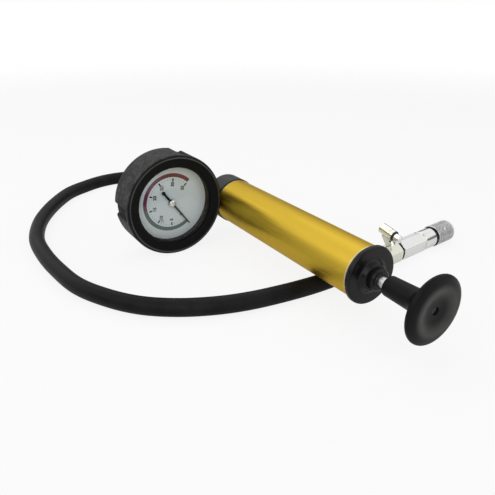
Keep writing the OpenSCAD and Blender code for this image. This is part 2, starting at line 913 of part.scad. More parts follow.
module movement_pillars() {
  color("#c8ab63") at_gauge() for (p = [post_a, post_b, post_c])
    in_dial(back_plate + plate_t, front_plate - back_plate - plate_t) translate(p) circle(r = post_r);
}

module sector_gear() {
  first = -teeth_down * tooth_step;
  root = sector_r - sector_root * gear_m;
  tip = sector_r + sector_tip * gear_m;
  up = teeth_up * tooth_step;
  rim = concat([for (i = [-teeth_down:teeth_up]) each tooth(i * tooth_step, sector_z, gear_m, root, tip)],
    [for (a = [up + tooth_step / 2:-tooth_step:first - tooth_step]) polar(band_in, a)]);
  spoke = tail_w / 2;
  color("#c8ab63") at_gauge() {
    in_dial(sector_back, sector_t) translate([pivot_y, pivot_z]) {
      rotate(pivot_deg - 180) {
        polygon(rim);
        polygon([[0, -spoke], [0, spoke], polar(band_in, up) + spoke_in,
          polar(band_in, up - spoke_deg) + spoke_in]);
        polygon([[0, -spoke], [0, spoke], polar(band_in, first + spoke_low_deg) + spoke_low_in,
          polar(band_in, first) + spoke_low_in]);
      }
      circle(r = sector_hub);
      rotate(tail_deg) {
        translate([0, -spoke]) square([tail_len, tail_w]);
        translate([tail_len, 0]) circle(r = spoke);
      }
    }
    in_dial(back_plate, front_plate + plate_t - back_plate)
      translate([pivot_y, pivot_z]) circle(r = arbor_r);
    in_dial(sector_back, link_back + link_t - sector_back + link_gap) translate(tail_end) circle(r = pin_r);
  }
}

module link() {
  reach = norm(link_end - tail_end);
  turn = atan2(link_end[1] - tail_end[1], link_end[0] - tail_end[0]);
  color("#c8ab63") at_gauge() in_dial(link_back, link_t) translate(tail_end) rotate(turn) difference() {
    union() {
      translate([0, -link_w / 2]) square([reach, link_w]);
      circle(r = link_w / 2);
      translate([reach, 0]) circle(r = link_w / 2);
    }
    circle(r = pin_r + run_fit);
    translate([reach, 0]) circle(r = pin_r + run_fit);
  }
}

// Flattened tube section, with a bore
module tube_section(grow) {
  half = tube_t / 2 + grow;
  translate([tube_r, tube_x]) {
    square([2 * half, tube_w - tube_t], center = true);
    for (s = [-1, 1]) translate([0, s * (tube_w - tube_t) / 2]) circle(r = half);
  }
}

module bourdon_tube() {
  color("#c98a4b") about_gauge() rotate([0, 0, tube_start])
    rotate_extrude(angle = tube_end - tube_start) difference() {
      tube_section(0);
      tube_section(-tube_wall);
    }
}

module bourdon_tip() {
  tip_y = tube_r * sin(tube_start);
  tip_z = -tube_r * cos(tube_start);
  reach = [tip_y, tip_z - 1] - link_end;
  color("#c8ab63") at_gauge() {
    about_tip() tube_cap();
    in_dial(link_back + link_t + link_gap, tip_arm_t) translate(link_end) {
      circle(r = tip_eye_r);
      rotate(atan2(reach[1], reach[0])) translate([0, -tip_arm_w / 2]) square([norm(reach), tip_arm_w]);
    }
    in_dial(link_back - link_gap, link_t + tip_arm_t) translate(link_end) circle(r = pin_r);
  }
}

module about_tip() {
  rotate([0, 90, 0]) rotate([0, 0, tube_start - tip_deg]) children();
}

module tube_cap() {
  rotate_extrude(angle = tip_deg) tube_section(tip_wall);
}

module gauge_socket() {
  color("#c8ab63") at_gauge() difference() {
    union() {
      translate([block_back, -block_w / 2, -block_bottom])
        cube([block_front - block_back, block_w, block_bottom - block_top]);
      translate([block_back, -block_w / 2, -block_top - over])
        cube([back_plate - block_back, block_w, block_top + over - lug_top]);
      rotate([180, 0, 0]) {
        rod(neck_r, block_bottom - neck_sunk, flats_top + over);
        rod(stem_d / 2, flats_end - over, stem_end);
      }
      translate([-stem_flats / 2, -stem_flats / 2, -flats_end])
        cube([stem_flats, stem_flats, flats_end - flats_top]);
    }
    rotate([180, 0, 0]) rod(passage_r, tube_r, stem_end + over);
    rotate([0, 90, 0]) rotate([0, 0, tube_end - socket_deg])
      rotate_extrude(angle = socket_deg + socket_play_deg) tube_section(plug_fit);
  }
}

module stem_washer() {
  color("#8a5a34") at_gauge() rotate([180, 0, 0])
    ring(stem_d / 2 + plug_fit, boss_d / 2 - washer_rim, flats_end, flats_end + washer_t);
}

// Hose

function spline(a, b, c, d, t) = 0.5 * (2 * b + (c - a) * t + (2 * a - 5 * b + 4 * c - d) * t * t
  + (3 * b - a - 3 * c + d) * t * t * t);
hose_parts = 2;
function hose_line() = let(n = len(route), p = concat([2 * route[0] - route[1]], route,
    [2 * route[n - 1] - route[n - 2]]))
  concat([for (i = [1:n - 1], k = [0:hose_parts - 1])
    spline(p[i - 1], p[i], p[i + 1], p[i + 2], k / hose_parts)], [route[n - 1]]);
function unit(v) = v / norm(v);
function hose_ring(c, t, r) = let(side = unit(cross([0, 0, 1], t)), up = cross(t, side))
  [for (j = [0:hose_sides - 1]) let(a = j * 360 / hose_sides) c + r * (cos(a) * side + sin(a) * up)];

module hose() {
  line = hose_line();
  n = len(line);
  k = hose_sides;
  dirs = [for (i = [0:n - 1]) unit(line[min(i + 1, n - 1)] - line[max(i - 1, 0)])];
  outer = [for (i = [0:n - 1]) each hose_ring(line[i], dirs[i], hose_r)];
  inner = [for (i = [0:n - 1]) each hose_ring(line[i], dirs[i], hose_bore_d / 2)];
  m = n * k;
  last = (n - 1) * k;
  skin = [for (i = [0:n - 2], j = [0:k - 1]) let(a = i * k + j, b = i * k + (j + 1) % k)
    each [[a, a + k, b + k], [a, b + k, b], [m + a, m + b + k, m + a + k], [m + a, m + b, m + b + k]]];
  ends = [for (j = [0:k - 1]) let(b = (j + 1) % k)
    each [[j, b, m + b], [j, m + b, m + j], [last + j, m + last + b, last + b],
      [last + j, m + last + j, m + last + b]]];
  color("#161617") translate([-mid_x, -mid_y, 0])
    polyhedron(points = concat(outer, inner), faces = concat(skin, ends));
}

crimp = 0.6;
crimp_rings = 7;
module ferrule(z0, z1) {
  r = ferrule_d / 2;
  step = (z1 - z0) / crimp_rings;
  lathe(concat([[hose_r + plug_fit, z0]],
    [for (i = [0:crimp_rings - 1]) each i % 2 == 0
      ? [[r, z0 + i * step + crimp / 2], [r, z0 + (i + 1) * step - crimp / 2]]
      : [[r - crimp, z0 + i * step + crimp / 2], [r - crimp, z0 + (i + 1) * step - crimp / 2]]],
    [[hose_r + plug_fit, z1]]));
}

module head_ferrule() {
  color("#a9acb0") on_axis() ferrule(nipple_rear - ferrule_len, nipple_rear);
}

module valve_ferrule() {
  color("#a9acb0") on_fitting() ferrule(tail_start - ferrule_len, tail_start);
}

// Release valve

// The web under the tube stops web_back short of the tube's front end
module valve_web_shape() {
  z = release_len - web_back;
  axis_x = valve_x + z * cos(valve_tilt);
  axis_y = z * sin(valve_tilt) - valve_up;
  polygon([[web_left, -web_foot], [web_right, -web_foot],
    [axis_x - release_r * sin(valve_tilt), axis_y + release_r * cos(valve_tilt)],
    [axis_x, axis_y], [valve_x + release_r / 2, -valve_up]]);
}

module valve_body() {
  color("#c4c6c8") difference() {
    union() {
      on_fitting() {
        rotate([0, 0, 30 + hex_roll]) turned_hex(hex_flats, valve_start, valve_end);
        barb(tail_start);
        rod(tail_r_out, tail_start, valve_start);
        rod(spigot_r, valve_end - over, valve_end + spigot_len);
        translate([0, 0, valve_s - valve_web / 2]) linear_extrude(height = valve_web) valve_web_shape();
      }
      on_release() rod(release_r, 0, release_len);
    }
    on_fitting() {
      rod(bleed_r, valve_start - bleed_sunk, valve_end + spigot_len + over);
      rod(passage_r, tail_start - barb_len - over, valve_start);
      translate([web_bleed_x, 0, valve_s]) rotate([90, 0, 0])
        rod(web_bleed_r, 0, valve_up - release_r);
    }
    on_release() rod(button_r + run_fit, -over, release_len + over);
  }
}

module release_button() {
  tip = release_len + button_ring_t + button_show;
  color("#d2d4d6") on_release() lathe(concat([[0, button_rear], [button_r, button_rear]],
    arc(button_r - button_dome, tip - button_dome, button_dome, 0, 90), [[0, tip]]));
}

module button_ring() {
  color("#141416") on_release()
    o_ring(button_r + run_fit, release_r + button_proud, release_len, release_len + button_ring_t);
}

release_wire = 0.3;
release_coil_r = 2.3;
release_turns = 4;
module release_spring() {
  color("#a9acb0") on_release() coil(release_coil_r, release_wire, plug_t + release_wire + seat_fit,
    button_rear - release_wire - seat_fit, release_turns);
}

module release_plug() {
  color("#b9bcc0") on_release() rod(button_r, 0, plug_t);
}

// Quick coupler

module body_ring() {
  color("#141416") on_fitting()
    o_ring(spigot_r + plug_fit, hex_flats / 2 + ring_proud, valve_end, coupler_start);
}

// The places of the lock balls round the nose
module at_locks() {
  for (i = [0:locks - 1]) rotate([0, 0, i * 360 / locks]) translate([0, 0, ball_at_s]) children();
}

module coupler_body() {
  r = collar_d / 2;
  color("#c9cbcd") on_fitting() difference() {
    union() {
      rotate([0, 0, 30 + hex_roll]) turned_hex(hex_flats, coupler_start, collar_start);
      lathe([[0, collar_start], [r - edge, collar_start], [r, collar_start + edge], [r, collar_end - edge],
        [r - edge, collar_end], [nose_r, collar_end], [nose_r, clip_at], [clip_in, clip_at],
        [clip_in, clip_at + clip_t + 2 * clip_play], [nose_r, clip_at + clip_t + 2 * clip_play],
        [nose_r, nose_end - edge], [nose_r - edge, nose_end], [0, nose_end]]);
    }
    rod(spigot_r + plug_fit, coupler_start - over, coupler_start + spigot_len);
    rod(bleed_r, coupler_start, socket_start + over);
    rod(socket_r, socket_start, nose_end + over);
    rod(socket_r + relief_deep, ball_at_s - relief_w / 2, ball_at_s + relief_w / 2);
    rod(socket_r + oring_deep, oring_at - oring_w / 2, oring_at + oring_w / 2);
    at_locks() rotate([0, 90, 0]) rod(lock_r + run_fit, lock_in, lock_out);
  }
}

module coupler_seal() {
  half = oring_w / 2 - seat_fit;
  color("#141416") on_fitting()
    ring(socket_r + oring_play, socket_r + oring_deep - seat_fit, oring_at - half, oring_at + half);
}

module sleeve_ring() {
  color("#141416") on_fitting()
    o_ring(nose_r + seat_fit, skirt_r - dust_gap, collar_end, collar_end + dust_t);
}

sleeve_wire = 0.4;
sleeve_turns = 4;
module sleeve_spring() {
  gap = sleeve_wire + seat_fit;
  color("#a9acb0") on_fitting()
    coil((nose_r + skirt_r) / 2, sleeve_wire, collar_end + dust_t + gap, land_start - gap, sleeve_turns);
}

module lock_balls() {
  color("#c9ccd0") on_fitting() at_locks() translate([lock_at, 0, 0]) sphere(r = lock_r);
}

module coupler_sleeve() {
  r = sleeve_d / 2;
  color("#9b9da0") on_fitting() lathe([[skirt_r, sleeve_start], [r - edge, sleeve_start],
    [r, sleeve_start + edge], [r, sleeve_end - 3 * edge], [r - 2 * edge, sleeve_end],
    [mouth_r, sleeve_end], [mouth_r, land_end],
    [land_r, land_end], [land_r, land_start], [skirt_r, land_start]]);
}

module retaining_ring() {
  color("#8d9094") on_fitting() rotate([0, 0, clip_open / 2]) rotate_extrude(angle = 360 - clip_open)
    polygon([[clip_in + seat_fit, clip_at + clip_play], [clip_out, clip_at + clip_play],
      [clip_out, clip_at + clip_play + clip_t], [clip_in + seat_fit, clip_at + clip_play + clip_t]]);
}

barrel();
front_cap();
rod_bush();
rod_wiper();
gland_ring();
plunger_rod();
knob();
knob_screw();
piston();
piston_seal();
piston_washer();
piston_nut();
head();
head_seal();
valve_seat();
check_ball();
check_spring();
hose_nipple();
gauge_boot();
gauge_case();
gauge_bezel();
gauge_lens();
lens_gasket();
gauge_dial();
dial_spacers();
dial_screws();
pointer();
pointer_arbor();
hairspring();
movement_back();
movement_front();
movement_pillars();
sector_gear();
link();
bourdon_tube();
bourdon_tip();
gauge_socket();
stem_washer();
hose();
head_ferrule();
valve_ferrule();
valve_body();
release_button();
button_ring();
release_spring();
release_plug();
body_ring();
coupler_body();
coupler_seal();
sleeve_ring();
sleeve_spring();
lock_balls();
coupler_sleeve();
retaining_ring();
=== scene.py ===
"""Looks of a hand-pumped pressure tester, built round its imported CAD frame.

Each sub-assembly works in millimetres in a frame of its own, and a Place carries its points into
the shared frame in metres. Finishes work in metres, as the objects do.
"""
import json
import logging
import math
from dataclasses import dataclass, field
from enum import Enum
from typing import Sequence

import bmesh
import bpy
import numpy as np
from mathutils import Matrix, Vector


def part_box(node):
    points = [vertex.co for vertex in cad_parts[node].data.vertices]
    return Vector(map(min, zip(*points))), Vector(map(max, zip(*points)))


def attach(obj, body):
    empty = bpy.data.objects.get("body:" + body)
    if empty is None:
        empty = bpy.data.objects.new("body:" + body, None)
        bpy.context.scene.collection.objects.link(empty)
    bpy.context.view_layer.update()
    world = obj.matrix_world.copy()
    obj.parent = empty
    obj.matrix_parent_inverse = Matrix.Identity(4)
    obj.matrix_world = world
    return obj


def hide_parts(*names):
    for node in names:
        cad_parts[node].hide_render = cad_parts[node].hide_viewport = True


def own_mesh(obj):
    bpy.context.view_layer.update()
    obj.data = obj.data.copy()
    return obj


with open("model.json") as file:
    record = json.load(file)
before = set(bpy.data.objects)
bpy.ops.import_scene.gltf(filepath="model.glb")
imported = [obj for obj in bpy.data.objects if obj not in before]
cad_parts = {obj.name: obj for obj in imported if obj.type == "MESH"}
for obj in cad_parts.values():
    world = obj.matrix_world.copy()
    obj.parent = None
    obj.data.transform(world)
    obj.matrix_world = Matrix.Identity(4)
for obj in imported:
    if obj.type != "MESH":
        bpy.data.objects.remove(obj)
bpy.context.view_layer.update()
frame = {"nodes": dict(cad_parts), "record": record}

LOG = logging.getLogger("pressure_tester")
MM = 0.001
TAU = 2 * math.pi
# Most of a profile's side that the arc at one corner may take
ARC_SHARE = 0.49
# Ranges that hold most of a noise's values
WIDE = (0.3, 0.7)
NARROW = (0.35, 0.65)

Array = np.ndarray
Pair = tuple[float, float]
Point = tuple[float, float, float]
Colour = tuple[float, float, float]
# Rows of radius, height and fillet radius
Profile = Sequence[Point]


class Body(Enum):
    """CAD bodies that pieces ride on."""

    PUMP = "pump"
    PLUNGER = "plunger"
    POINTER = "pointer"
    SLEEVE = "coupler_sleeve"


@dataclass(frozen=True)
class Place:
    """Frame of a sub-assembly: its origin in millimetres and the way its axes point."""

    origin: Point
    x: Point
    y: Point
    z: Point

    def world(self, points: Array) -> Array:
        """Carry points into the shared frame: origin plus each coordinate times its axis.

        Args:
            points: Array of shape (..., 3) in this frame's millimetres.

        Returns:
            The same points in metres of the shared frame.
        """
        return (points @ np.array([self.x, self.y, self.z]) + np.array(self.origin)) * MM

    def along(self, shift: Point, x: Point, y: Point, z: Point) -> "Place":
        """Frame set in this one.

        Args:
            shift: Its origin in this frame.
            x: Its x axis in this frame.
            y: Its y axis in this frame.
            z: Its z axis in this frame.

        Returns:
            That frame.
        """
        axes = np.array([self.x, self.y, self.z])
        turn = [tuple(np.array(a) @ axes) for a in (x, y, z)]
        return Place(tuple(self.world(np.array(shift)) / MM), *turn)


def turned(degrees: float) -> Pair:
    """Cosine and sine of an angle."""
    return math.cos(math.radians(degrees)), math.sin(math.radians(degrees))


def pump_place() -> Place:
    """Frame on the barrel's rear rim, with z along the barrel.

    Returns:
        That frame.
    """
    low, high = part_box("barrel")
    middle = (low + high) / 2
    return Place((low.x / MM, middle.y / MM, middle.z / MM), (0, 0, -1), (0, 1, 0), (1, 0, 0))


def gauge_place(roll: float = 9.126845) -> Place:
    """Frame at the dial's middle: x to the dial's right, y to its top, z out of its face.

    Args:
        roll: Degrees that the gauge is turned about its face's normal.

    Returns:
        That frame.
    """
    low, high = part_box("gauge_dial")
    middle = (low + high) / 2
    c, s = turned(roll)
    return Place((high.x / MM, middle.y / MM, middle.z / MM), (0, s, c), (0, -c, s), (1, 0, 0))


PUMP = pump_place()
GAUGE = gauge_place()


def fitting_place(x: float = 110.3, y: float = 74.2, height: float = 8.75,
                  yaw: float = 6.35) -> Place:
    """Frame on the fitting's axis, between its hexagons: z towards the coupler and y down.

    Args:
        x: Distance along the barrel from its rear rim.
        y: Distance from the barrel's axis.
        height: Height of the fitting's axis.
        yaw: Degrees that the fitting is turned on the floor.

    Returns:
        That frame.
    """
    c, s = turned(yaw)
    origin = (PUMP.origin[0] + x, PUMP.origin[1] + y, height)
    return Place(origin, (c, s, 0), (0, 0, -1), (-s, c, 0))


FITTING = fitting_place()
SHARED = Place((0, 0, 0), (1, 0, 0), (0, 1, 0), (0, 0, 1))


# Surfaces

def rounded(corners: Profile, closed: bool = False, steps: int = 6) -> Array:
    """Profile through corners, each turned into an arc that touches both of its sides.

    The arc's centre lies on the corner's bisector at fillet / sin(half angle), and its ends lie
    fillet / tan(half angle) from the corner.

    Args:
        corners: Rows of radius, height and fillet radius.
        closed: Whether the last corner joins the first.
        steps: Parts of each arc.

    Returns:
        Array of radius and height, shape (n, 2).
    """
    points = np.array(corners, float)
    xy, fillets = points[:, :2], points[:, 2]
    count = len(xy)
    out: list[Array] = []
    for i in range(count):
        if fillets[i] <= 0 or (not closed and i in (0, count - 1)):
            out.append(xy[i:i + 1])
            continue
        before, after = xy[i - 1] - xy[i], xy[(i + 1) % count] - xy[i]
        shorter = min(np.linalg.norm(before), np.linalg.norm(after))
        u, v = before / np.linalg.norm(before), after / np.linalg.norm(after)
        half = math.acos(max(-1.0, min(1.0, float(u @ v)))) / 2
        reach = min(fillets[i] / math.tan(half), ARC_SHARE * shorter)
        radius = reach * math.tan(half)
        centre = xy[i] + (u + v) / np.linalg.norm(u + v) * radius / math.sin(half)
        a0 = math.atan2(*(xy[i] + u * reach - centre)[::-1])
        a1 = math.atan2(*(xy[i] + v * reach - centre)[::-1])
        turn = (a1 - a0 + math.pi) % TAU - math.pi
        angles = a0 + turn * np.linspace(0, 1, steps + 1)
        out.append(centre + radius * np.stack([np.cos(angles), np.sin(angles)], -1))
    return np.concatenate(out)


def arc(r: float, z: float, radius: float, first: float, last: float, steps: int) -> Array:
    """Profile along an arc: (r + radius cos a, z + radius sin a).

    Args:
        r: Its centre's distance from the axis.
        z: Its centre's height.
        radius: Its radius.
        first: Angle where it starts, in radians.
        last: Angle where it ends.
        steps: Parts of it.

    Returns:
        Array of radius and height, shape (steps + 1, 2).
    """
    a = np.linspace(first, last, steps + 1)
    return np.stack([r + radius * np.cos(a), z + radius * np.sin(a)], -1)


def moved(corners: Profile, along: float) -> Profile:
    """Corners of a profile, moved along its axis."""
    return [(r, h + along, fillet) for r, h, fillet in corners]


def filled(profile: Array, step: float) -> Array:
    """Closed profile with points added on its sides: p + (q - p) t, for t in equal parts.

    Args:
        profile: Array of radius and height.
        step: About how far apart the points lie.

    Returns:
        Array of radius and height.
    """
    after = np.roll(profile, -1, 0)
    parts = [max(1, int(n / step)) for n in np.linalg.norm(after - profile, axis=1)]
    return np.concatenate([p + (q - p) * np.linspace(0, 1, n, endpoint=False)[:, None]
                           for p, q, n in zip(profile, after, parts)])


def revolve(profile: Array, columns: int = 96) -> Array:
    """Surface of revolution about z: (r cos a, r sin a, h) for each profile point and angle.

    Args:
        profile: Array of radius and height.
        columns: Points round it.

    Returns:
        Grid of points, shape (len(profile), columns, 3).
    """
    a = np.linspace(0, TAU, columns, endpoint=False)
    r, h = profile[:, :1], profile[:, 1:]
    return np.stack([r * np.cos(a), r * np.sin(a), h + 0 * a], -1)


def heading(line: Array) -> Array:
    """Unit direction of a line at each of its points."""
    step = np.gradient(line, axis=0)
    return step / np.linalg.norm(step, axis=1, keepdims=True)


def tube(line: Array, radius: float, sides: int) -> Array:
    """Rings of points about a line: centre + radius (side cos a + up sin a), side being level.

    Args:
        line: Points of the line, shape (n, 3).
        radius: Radius of the rings.
        sides: Points in a ring.

    Returns:
        Grid of points, shape (n, sides, 3).
    """
    step = heading(line)
    side = np.cross((0.0, 0.0, 1.0), step)
    side /= np.linalg.norm(side, axis=1, keepdims=True)
    up = np.cross(step, side)
    a = np.linspace(0, TAU, sides, endpoint=False)[None, :, None]
    return line[:, None] + radius * (side[:, None] * np.cos(a) + up[:, None] * np.sin(a))


def through(points: Array, parts: int) -> Array:
    """Smooth line through points: the Catmull-Rom cubic of each four neighbours.

    Args:
        points: Points on the line, shape (n, 3).
        parts: Parts that each stretch is cut into.

    Returns:
        Points of the line.
    """
    ends = np.concatenate([2 * points[:1] - points[1:2], points, 2 * points[-1:] - points[-2:-1]])
    a, b, c, d = ends[:-3, None], ends[1:-2, None], ends[2:-1, None], ends[3:, None]
    t = (np.arange(parts) / parts)[None, :, None]
    line = 0.5 * (2 * b + (c - a) * t + (2 * a - 5 * b + 4 * c - d) * t ** 2
                  + (3 * b - a - 3 * c + d) * t ** 3)
    return np.concatenate([line.reshape(-1, 3), points[-1:]])


def soft_min(a: Array, b: Array, blend: float) -> Array:
    """Smaller of two values, rounded over about blend where they meet."""
    return -blend * np.logaddexp(-a / blend, -b / blend)


def smooth(x: Array, low: float, high: float) -> Array:
    """Smooth step from 0 at low to 1 at high: 3 t^2 - 2 t^3."""
    t = np.clip((x - low) / (high - low), 0, 1)
    return t * t * (3 - 2 * t)


@dataclass
class Piece:
    """A mesh in the making, from closed grids of points in one frame."""

    name: str
    place: Place
    points: list[Array] = field(default_factory=list)
    quads: list[Array] = field(default_factory=list)
    count: int = 0

    def add(self, grid: Array, ring: bool = False) -> "Piece":
        """Add a grid whose columns close on themselves.

        Args:
            grid: Points of shape (rows, columns, 3) in the frame's millimetres.
            ring: Whether the last row joins the first. If not, both end rows shrink to a point.

        Returns:
            This piece.
        """
        rows, columns = grid.shape[:2]
        i = np.arange(rows if ring else rows - 1)[:, None]
        j = np.arange(columns)[None, :]
        near, far = i * columns, (i + 1) % rows * columns
        right = (j + 1) % columns
        faces = np.stack([near + j, near + right, far + right, far + j], -1).reshape(-1, 4)
        self.points.append(grid.reshape(-1, 3))
        self.quads.append(faces + self.count)
        self.count += rows * columns
        return self

    def lathe(self, corners: Profile, ring: bool = False, columns: int = 96) -> "Piece":
        """Add a turned shape from its rounded profile."""
        return self.add(revolve(rounded(corners, ring), columns), ring)

    def make(self, finish: "Finish", body: Body, replaces: Sequence[str] = (), slot: str = "",
             crease: float = 40) -> bpy.types.Object:
        """Turn the grids into an object that rides on a body.

        Args:
            finish: What its surface looks like.
            body: The CAD body that it moves with.
            replaces: CAD nodes that it stands for.
            slot: Material slot of the record; not used.
            crease: Angle in degrees above which an edge stays sharp.

        Returns:
            The finished object, at the origin.
        """
        mesh = bpy.data.meshes.new(self.name)
        points = self.place.world(np.concatenate(self.points))
        mesh.from_pydata(points.tolist(), [], np.concatenate(self.quads).tolist())
        weld(mesh)
        return dress(link(self.name, mesh, crease), finish, body, replaces)


def weld(mesh: bpy.types.Mesh, gap: float = 2e-7) -> None:
    """Merge points that meet and turn every face outwards.

    Args:
        mesh: Mesh that is changed.
        gap: How close points lie that meet, in metres.
    """
    shape = bmesh.new()
    shape.from_mesh(mesh)
    bmesh.ops.remove_doubles(shape, verts=shape.verts, dist=gap)
    bmesh.ops.recalc_face_normals(shape, faces=shape.faces)
    shape.to_mesh(mesh)
    shape.free()


def link(name: str, mesh: bpy.types.Mesh, crease: float) -> bpy.types.Object:
    """Put a mesh in the scene, smooth apart from its sharp edges.

    Args:
        name: Name of the object.
        mesh: Its mesh.
        crease: Angle in degrees above which an edge stays sharp.

    Returns:
        The object.
    """
    mesh.shade_smooth()
    mesh.set_sharp_from_angle(angle=math.radians(crease))
    made = bpy.data.objects.new(name, mesh)
    bpy.context.scene.collection.objects.link(made)
    return made


def dress(made: bpy.types.Object, finish: "Finish", body: Body, replaces: Sequence[str] = ()) -> bpy.types.Object:
    """Give an object its finish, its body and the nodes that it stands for.

    Args:
        made: The object.
        finish: What its surface looks like.
        body: The CAD body that it moves with.
        replaces: CAD nodes that it stands for.

    Returns:
        The same object.
    """
    made.data.materials.clear()
    made.data.materials.append(finish.material())
    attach(made, body.value)
    if replaces:
        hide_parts(*replaces)
    LOG.info("%s rides on %s", made.name, body.value)
    return made


# Shader graphs

class Value:
    """A shader value. Sums, differences, products and quotients of values add Math nodes."""

    def __init__(self, graph: "Graph", socket: bpy.types.NodeSocket) -> None:
        """Wrap an output socket of a graph."""
        self.graph = graph
        self.socket = socket

    def _with(self, operation: str, first: "Value | float", second: "Value | float") -> "Value":
        """Math node of that operation."""
        return self.graph.node("ShaderNodeMath", {"operation": operation}, {0: first, 1: second})

    def __add__(self, other: "Value | float") -> "Value":
        """Sum."""
        return self._with("ADD", self, other)

    def __sub__(self, other: "Value | float") -> "Value":
        """Difference."""
        return self._with("SUBTRACT", self, other)

    def __rsub__(self, other: "Value | float") -> "Value":
        """Difference with the value second."""
        return self._with("SUBTRACT", other, self)

    def __mul__(self, other: "Value | float") -> "Value":
        """Product."""
        return self._with("MULTIPLY", self, other)

    def __truediv__(self, other: "Value | float") -> "Value":
        """Quotient."""
        return self._with("DIVIDE", self, other)

    __radd__ = __add__
    __rmul__ = __mul__


class Graph:
    """Node tree of a material or of the world."""

    def __init__(self, tree: bpy.types.NodeTree) -> None:
        """Start from an empty tree."""
        self.tree = tree
        tree.nodes.clear()

    def node(self, kind: str, settings: dict | None = None, inputs: dict | None = None,
             out: int | str = 0) -> Value:
        """Add a node.

        Args:
            kind: Blender's name of the node's type.
            settings: Properties, set before its sockets.
            inputs: Values or links of its sockets, by name or number.
            out: Output that is wanted.

        Returns:
            The wanted output.
        """
        made = self.tree.nodes.new(kind)
        for key, value in (settings or {}).items():
            setattr(made, key, value)
        for key, value in (inputs or {}).items():
            if isinstance(value, Value):
                self.tree.links.new(value.socket, made.inputs[key])
            else:
                made.inputs[key].default_value = value
        return Value(self, made.outputs[out] if len(made.outputs) else None)

    def spot(self) -> Value:
        """Object coordinates."""
        return self.node("ShaderNodeTexCoord", out="Object")

    def coordinates(self, stretch: Point = (1, 1, 1)) -> Value:
        """Object coordinates, each multiplied by its stretch."""
        return self.node("ShaderNodeMapping", {"vector_type": "POINT"},
                         {"Vector": self.spot(), "Scale": stretch})

    def coordinate(self, axis: str) -> Value:
        """One of the object coordinates, by its letter."""
        return self.node("ShaderNodeSeparateXYZ", None, {0: self.spot()}, axis)

    def vector(self, operation: str, first: Value | Point, second: Value | Point = (0, 0, 0),
               out: str = "Vector") -> Value:
        """Vector Math node of that operation."""
        return self.node("ShaderNodeVectorMath", {"operation": operation},
                         {0: first, 1: second}, out)

    def off_axis(self, place: Place) -> Value:
        """Distance from a frame's z axis: the length of (spot - origin) x axis.

        Args:
            place: The frame.

        Returns:
            The distance in metres.
        """
        off = self.vector("SUBTRACT", self.spot(), tuple(c * MM for c in place.origin))
        return self.vector("LENGTH", self.vector("CROSS_PRODUCT", off, place.z), out="Value")

    def noise(self, where: Value, scale: float, detail: float = 3) -> Value:
        """Noise from 0 to 1."""
        return self.node("ShaderNodeTexNoise", None,
                         {"Vector": where, "Scale": scale, "Detail": detail})

    def range(self, value: Value, low: float, high: float, to_low: float = 0,
              to_high: float = 1) -> Value:
        """Value moved from one range into another, with smooth ends."""
        return self.node("ShaderNodeMapRange", {"interpolation_type": "SMOOTHSTEP"},
                         {0: value, 1: low, 2: high, 3: to_low, 4: to_high})

    def mix(self, factor: Value | float, first: Value | Colour, second: Value | Colour) -> Value:
        """Colour between two others."""
        a, b = (c if isinstance(c, Value) else (*c, 1) for c in (first, second))
        return self.node("ShaderNodeMix", {"data_type": "RGBA"}, {0: factor, 6: a, 7: b}, 2)

    def bump(self, height: Value, depth: float) -> Value:
        """Normal that follows a height, depth being its full height in metres."""
        return self.node("ShaderNodeBump", None,
                         {"Height": height, "Distance": depth, "Strength": 1.0})

    def surface(self, **sockets: "Value | float | Colour") -> None:
        """Finish the material with one principled shader.

        Args:
            sockets: Values of its sockets, by name with _ for a space.
        """
        inputs = {key.replace("_", " "): (*v, 1) if isinstance(v, tuple) and len(v) == 3 else v
                  for key, v in sockets.items()}
        shader = self.node("ShaderNodeBsdfPrincipled", None, inputs)
        self.node("ShaderNodeOutputMaterial", None, {"Surface": shader})


# Finishes

MADE: dict[str, bpy.types.Material] = {}


def scaled(tint: Colour, share: float) -> Colour:
    """Colour with each channel multiplied by a share."""
    return tuple(c * share for c in tint)


@dataclass(frozen=True)
class Finish:
    """A finish, made into a material once."""

    name: str
    tint: Colour

    def material(self) -> bpy.types.Material:
        """The finish as a material.

        Returns:
            The one material of this name.
        """
        if self.name not in MADE:
            made = bpy.data.materials.new(self.name)
            made.use_nodes = True
            made.diffuse_color = (*self.tint, 1)
            MADE[self.name] = made
            self.paint(Graph(made.node_tree))
        return MADE[self.name]

    def paint(self, graph: Graph) -> None:
        """Fill the material's graph; each kind of finish has its own."""
        raise NotImplementedError


@dataclass(frozen=True)
class Metal(Finish):
    """Plated or machined metal: fine lines across one axis and faint handling marks."""

    rough: float = 0.15
    lines: Point = (1, 1, 1)
    line_scale: float = 900
    mark_scale: float = 70
    depth: float = 1.5e-6
    shade: float = 0.12

    def paint(self, graph: Graph) -> None:
        """Vary colour, roughness and height by noise that is drawn out along the lines.

        Args:
            graph: The material's graph.
        """
        drawn = graph.noise(graph.coordinates(self.lines), self.line_scale, 4)
        marks = graph.noise(graph.coordinates(), self.mark_scale, 4)
        tint_share = graph.range(drawn * 0.6 + marks * 0.4, 0.35, 0.6)
        dark = scaled(self.tint, 1 - 2 * self.shade)
        graph.surface(
            Base_Color=graph.mix(tint_share, dark, self.tint), Metallic=1.0,
            Roughness=graph.range(marks, *WIDE, self.rough * 0.8, self.rough * 1.3),
            Normal=graph.bump(drawn, self.depth))


